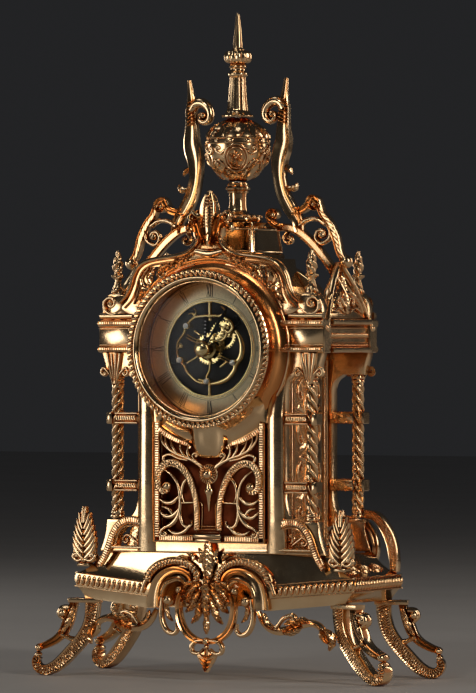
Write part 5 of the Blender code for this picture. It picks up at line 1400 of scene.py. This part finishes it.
def numeral(relief, text, angle, middle, height, stroke):
    """Thin Roman numeral, its foot towards the centre, drawn from straight strokes."""
    widths = {"I": 1.15, "V": 2.5, "X": 2.5}
    total = sum(widths[c] for c in text)
    x = -total / 2
    cosine, sine = math.cos(angle), math.sin(angle)

    def place(px, py):
        r = middle + py
        return (px * cosine + r * sine, DIAL_Z - px * sine + r * cosine)

    h = height / 2
    for c in text:
        w = widths[c]
        lines = {"I": [((0.5, -h), (0.5, h), 1.0)],
                 "V": [((0.12, h), (0.5, -h), 1.0), ((0.88, h), (0.5, -h), 0.5)],
                 "X": [((0.12, h), (0.88, -h), 1.0), ((0.88, h), (0.12, -h), 0.5)]}[c]
        for (ax, ay), (bx, by), weight in lines:
            a, b = place(x + ax * w, ay), place(x + bx * w, by)
            relief.strap([a, b], stroke * weight, ROUND, 0.12, 0.0, smoothed=False)
        for y in (-h, h):
            a, b = place(x + 0.08 * w, y), place(x + 0.92 * w, y)
            relief.strap([a, b], 0.09, ROUND, 0.12, 0.0, smoothed=False)
        x += w


def make_dial():
    ring = Relief()
    low, high = span("chapter_ring", 1)
    outer, inner = 43.4, 29.6
    profile = [(outer, high), (outer, low + 0.1), (outer - 0.2, low), (31.0, low), (30.6, low - 0.15),
               (30.0, low - 0.15), (inner, low + 0.2), (inner, high)]
    ring.hoop(profile, 128)
    ring.make("chapter_face", DIAL_AXIS, CHAMPAGNE, slot="dial", stands_for=["chapter_ring"])

    trim = Relief()
    for radius, half in ((29.9, 0.5), (31.4, 0.28)):
        trim.strap(arc(CENTRE, radius, 0, 356, 4), half, ROUND, 0.5, 0.0, closed=True)
    trim.make("chapter_trim", front(low), BRASS, slot="brass")

    marks = Relief()
    for radius, half in ((32.4, 0.10), (41.6, 0.10), (42.9, 0.10)):
        marks.strap(arc(CENTRE, radius, 0, 356, 4), half, ROUND, 0.1, 0.0, closed=True)
    for i in range(60):
        a = 2 * math.pi * i / 60
        length = 1.3 if i % 5 else 2.6
        half = 0.09 if i % 5 else 0.2
        marks.strap([(r * math.sin(a), DIAL_Z + r * math.cos(a)) for r in (42.9, 42.9 - length)], half,
                    ROUND, 0.1, 0.0, smoothed=False)
    for i, text in enumerate(NUMERALS):
        numeral(marks, text, 2 * math.pi * i / 12, 36.8, 7.6, 0.34 if i % 6 == 0 else 0.2)
    marks.make("chapter_marks", front(low - 0.02), BLACK, slot="black")


def make_bridge():
    face, back = span("skeleton_bridge", 1)
    bridge = Relief()

    def at(points):
        return [(x, DIAL_Z + z) for x, z in points]

    left = at([(8.3, 20.8), (0, 20.9), (-6, 20.5), (-10.4, 19.4), (-15.6, 14.4), (-17, 10), (-21.2, 4.6),
               (-22, -0.7), (-20.6, -6.4), (-16.8, -10.6), (-14.4, -15), (-8, -20.4), (-2, -21.6),
               (1.2, -22)])
    bridge.strap(left, [1.0, 1.1, 0.9, 0.8, 0.7, 0.7, 0.7, 0.8, 0.8, 0.9], ROUND, 1.5, -1.2, step=0.6)
    right = at([(19.6, 11.6), (22.4, 7), (23.8, 1.6), (23.0, -4.6), (19.6, -9.6), (18.4, -13.6),
                (14, -18.4), (8, -21.0), (2.4, -22)])
    bridge.strap(right, [0.9, 1.6, 2.0, 2.0, 1.7, 1.6, 1.7, 1.6, 1.1], ROUND, 1.7, -1.2, step=0.6)
    for path, half in (
            ([(1.2, 29.4), (1.2, 20)], 1.1), ([(1.0, -21.6), (1.0, -29.4)], 0.9),
            ([(-14.8, 9.0), (-5.0, 4.3)], 0.45), ([(-15.4, 7.2), (-5.8, 2.6)], 0.45),
            ([(-15, -9), (-5, -3.6)], 0.7), ([(6, -3), (19, -8.4)], 0.45),
            ([(7, -5.2), (18.4, -10.2)], 0.45), ([(8.6, -11.4), (13.4, -8)], 0.8),
            ([(-9.6, 11.4), (-5.6, 8.8)], 0.6), ([(-22, 0.4), (-18, 1.2)], 0.6)):
        bridge.strap(at(path), half, ROUND, 1.3, -1.2, smoothed=False)
    for path, halves, height in (
            ([(-8.6, 20), (-11, 22.4), (-13.6, 22.0)], [0.9, 0.7, 0.5], 1.4),
            ([(-10, 20.6), (-8.4, 23.4), (-10, 25.4)], [0.8, 0.6, 0.4], 1.4),
            ([(8.3, 20.8), (11.4, 22.4), (11.6, 24.6), (9.4, 26.6)], [0.9, 0.9, 0.7, 0.4], 1.4),
            ([(-1.2, -5.4), (1.2, -8), (1.2, -13.4), (-0.8, -17), (-1.4, -20), (-6.6, -19.2)], 0.75, 1.5),
            ([(3.8, 5.0), (9.6, 5.6), (12.8, 8.6), (12.0, 12.4), (8.6, 14.0)], [0.8, 0.9, 0.8, 0.6], 1.3),
            ([(11.6, 19.6), (15.4, 17.4), (17.2, 13.4), (14.6, 10.6), (11.4, 12.4), (12.6, 15.4)],
             [1.0, 1.2, 1.2, 0.9, 0.7], 1.4)):
        bridge.strap(at(path), halves, ROUND, height, -1.2)
    bridge.ball(at([(13.6, 13.6)])[0], 1.5, 1.0, -0.8)
    for x, z in ((1.4, 18.6), (13.0, 18.4), (-19.4, 2.2)):
        bridge.ball(at([(x, z)])[0], 1.3, 0.7, -0.6)
    hub = Relief()
    hub.hoop([(6.2, back), (6.2, face + 0.3), (5.8, face), (3.5, face), (3.5, back)], 48)
    bridge.make("movement_bridge", front(face + 1.2), BRASS, slot="brass", stands_for=["skeleton_bridge"])
    hub.make("bridge_hub", DIAL_AXIS, BRASS, slot="brass")

    heads = Relief()
    for i in range(1, 5):
        x = sum(span(f"bridge_screw_{i}", 0)) / 2
        z = sum(span(f"bridge_screw_{i}", 2)) / 2
        heads.ball((x, z), 1.8, 0.7, 0.0, 20, 5)
        heads.strap([(x - 1.5, z - 0.8), (x + 1.5, z + 0.8)], 0.2, ROUND, 0.3, 0.62, smoothed=False)
    heads.make("bridge_screw_heads", front(span("bridge_screw_1", 1)[0] + 0.4), STEEL, slot="brass")


def make_hands():
    def hand(name, angle, length, width, tail, y, body):
        cosine, sine = math.cos(angle), math.sin(angle)
        h = Relief()

        def p(points):
            return [(x * cosine + z * sine, DIAL_Z - x * sine + z * cosine) for x, z in points]

        h.strap(p([(0, 3.4), (0, length * 0.3), (0, length * 0.62), (0, length)]),
                [width * 0.55, width * 0.8, width, 0.16], RIDGE, 0.66, 0, 0)
        if tail:
            h.strap(p([(0, -3.2), (0, -tail)]), [0.5, 1.0], RIDGE, 0.5, 0, 0)
        h.strap([(3.4 * math.cos(a), DIAL_Z + 3.4 * math.sin(a)) for a in np.linspace(0, 2 * math.pi, 16,
                False)], 0.62, ROUND, 0.4, 0, 0, closed=True)
        h.make(f"{name}_blade", front(y), BLACK, body=body, slot="black", stands_for=[name])
        if name == "hour_hand":
            # Painted highlight: a row of steel beads down the hour hand stands in for the glint of light
            # along its middle.
            line = Relief()
            line.beads(p([(0, 5), (0, length - 2)]), 0.34, 2.3, 0.2, 0.55, 2.0, 0)
            line.make("hour_hand_inlay", front(y), STEEL, body=body, slot="black")

    hand("hour_hand", math.radians(2.75), 20.5, 1.5, 0, -46.35, "hour_pipe")
    hand("minute_hand", math.radians(33), 31.5, 1.1, 8, -48.35, "minute_arbor")
    nut = Relief()
    nut.lathe([(0.05, -53.4), (2.4, -53.1), (4.4, -52.0), (5.4, -50.3), (5.2, -49.5), (4.6, -49.3),
               (0.9, -49.3)], 40,
              step=0.4)
    nut.make("centre_boss", DIAL_AXIS, BRASS, body="minute_arbor", slot="brass", stands_for=["hand_nut"])


# ---------------------------------------------------------------- rear door
def make_door():
    back = span("rear_door", 1)[1]
    profile = [(0.05, back), (2.8, back - 0.1), (4.6, back - 1.0), (5.0, back - 2.4), (4.6, back - 4.0),
               (2.8, back - 5.6), (3.0, 51.6), (5, 50.6), (20, 49.2), (34, 45.6), (41.4, 41.9),
               (44.0, 41.2), (46, 41.0), (46, 38.05), (41.4, 38.05), (33, 43.0), (19.4, 47.2), (0.05, 48.8)]
    door = Relief()
    door.lathe(profile, 96, smoothed=False)
    for radius, y in ((43.6, 41.2), (30.6, 46.3), (9, 50.2)):
        door.lathe([(radius - 1, y - 0.4), (radius - 0.6, y + 0.7), (radius, y + 1.1),
                    (radius + 0.6, y + 0.6), (radius + 1, y - 0.6)], 96, smoothed=False)
    for i in range(24):
        a = 2 * math.pi * i / 24
        door.ball((37.2 * math.cos(a), 44.2), 0.9, 0.9, 37.2 * math.sin(a), 8, 4, True)
    low, high = DIAL_Z - 12.6 + 8.4, DIAL_Z + 4.2
    knuckle = Relief()
    knuckle.lathe([(2.0, low - DIAL_Z), (2.0, high - DIAL_Z)], 20, smoothed=False)
    door.take(knuckle, standing(HINGE_X, HINGE_Y))
    leaf = Relief()
    leaf.block((HINGE_X, low - DIAL_Z, -0.5), (-43.4, high - DIAL_Z, 0.5), 0.2)
    door.take(leaf, standing(y=HINGE_Y - 1.1))
    door.make("rear_door_shell", DIAL_AXIS, GILT_SMOOTH, body="rear_door", stands_for=["rear_door"])


# ---------------------------------------------------------------- CAD nodes that stay
def finish_cad_nodes():
    slots = {s["slot"]: s for s in frame["record"]["materials"]}
    for name, node in frame["nodes"].items():
        if node.hide_render:
            continue
        for holder in node.material_slots:
            label = holder.material.name.split(".")[0] if holder.material else "gilt"
            holder.material = SLOT_FINISH.get(label if label in slots else "gilt", GILT)
        node.data.shade_smooth()
        node.data.set_sharp_from_angle(angle=math.radians(30))


# ---------------------------------------------------------------- stage
def make_stage():
    floor_mesh = bpy.data.meshes.new("floor")
    bm = bmesh.new()
    bmesh.ops.create_grid(bm, x_segments=2, y_segments=2, size=6.0)
    bm.to_mesh(floor_mesh)
    bm.free()
    floor = bpy.data.objects.new("floor", floor_mesh)
    n = Nodes("pale_floor")
    n.link(n.ramp(n.noise(8.0), [(0.3, (0.60, 0.58, 0.55)), (0.7, (0.64, 0.62, 0.59))]),
           n.shader.inputs["Base Color"])
    n.set(Roughness=0.55)
    floor_mesh.materials.append(n.material)
    bpy.context.scene.collection.objects.link(floor)

    world = bpy.data.worlds.new("studio")
    world.use_nodes = True
    world.node_tree.nodes["Background"].inputs["Color"].default_value = (0.55, 0.56, 0.60, 1)
    world.node_tree.nodes["Background"].inputs["Strength"].default_value = 0.03
    bpy.context.scene.world = world


LIT_HEIGHT = 0.2


def softbox(name, azimuth, elevation, distance, size, power, colour):
    """Rectangular light aimed at the middle of the clock."""
    target = Vector((0, 0, LIT_HEIGHT))
    a, e = math.radians(azimuth), math.radians(elevation)
    offset = Vector((math.sin(a) * math.cos(e), -math.cos(a) * math.cos(e), math.sin(e))) * distance
    light = bpy.data.lights.new(name, "AREA")
    light.shape = "RECTANGLE"
    light.size, light.size_y = size
    light.energy = power
    light.color = colour
    lamp = bpy.data.objects.new(name, light)
    lamp.location = target + offset
    lamp.rotation_euler = offset.to_track_quat("Z", "Y").to_euler()
    bpy.context.scene.collection.objects.link(lamp)


LIGHTS = [  # name, azimuth, elevation, distance, size, power, colour
    ("key_left", -38, 3, 1.7, (0.8, 0.6), 4.6, (1.0, 0.97, 0.93)),
    ("front_left", -6, 34, 2.2, (0.3, 0.3), 3.4, (1.0, 0.96, 0.9)),
    ("top", -60, 66, 1.5, (0.5, 0.34), 0.8, (1.0, 1.0, 1.0)),
    ("key_right", 68, 22, 1.5, (0.16, 0.9), 4.6, (1.0, 0.92, 0.84)),
    ("warm_fill", 116, 8, 2.0, (1.5, 1.6), 1.8, (1.0, 0.48, 0.26)),
    ("edge_left", -104, 3, 1.5, (0.2, 0.6), 3.4, (1.0, 0.95, 0.9)),
    ("edge_right", 138, 18, 1.5, (0.14, 1.0), 2.6, (1.0, 0.93, 0.86)),
]


def make_lights():
    for light in LIGHTS:
        softbox(*light)


CAMERA_AZIMUTH = 27.0
CAMERA_DISTANCE = 3.24
CAMERA_HEIGHT = 0.211
FOCAL_LENGTH = 263.6


def make_camera():
    a = math.radians(CAMERA_AZIMUTH)
    data = bpy.data.cameras.new("camera")
    data.lens = FOCAL_LENGTH
    data.sensor_width = 36
    data.sensor_fit = "AUTO"
    data.clip_end = 50
    camera = bpy.data.objects.new("camera", data)
    camera.location = (CAMERA_DISTANCE * math.sin(a), -CAMERA_DISTANCE * math.cos(a), CAMERA_HEIGHT)
    camera.rotation_euler = (math.radians(90), 0, a)
    bpy.context.scene.collection.objects.link(camera)
    bpy.context.scene.camera = camera


def main():
    bpy.context.scene.view_settings.view_transform = "Standard"
    make_camera()
    make_lights()
    make_stage()
    for make in (make_base, make_feet, make_apron, make_leaf_finials, make_front_frame, make_rear_frame,
                 make_columns, make_pinnacles, make_grille, make_shield, make_crest, make_brackets,
                 make_side_panels, make_side_cornices, make_roof, make_pedestal, make_urn, make_spire,
                 make_drum, make_bezel, make_glass_dome, make_dial, make_bridge, make_hands, make_door):
        make()
    finish_cad_nodes()


main()
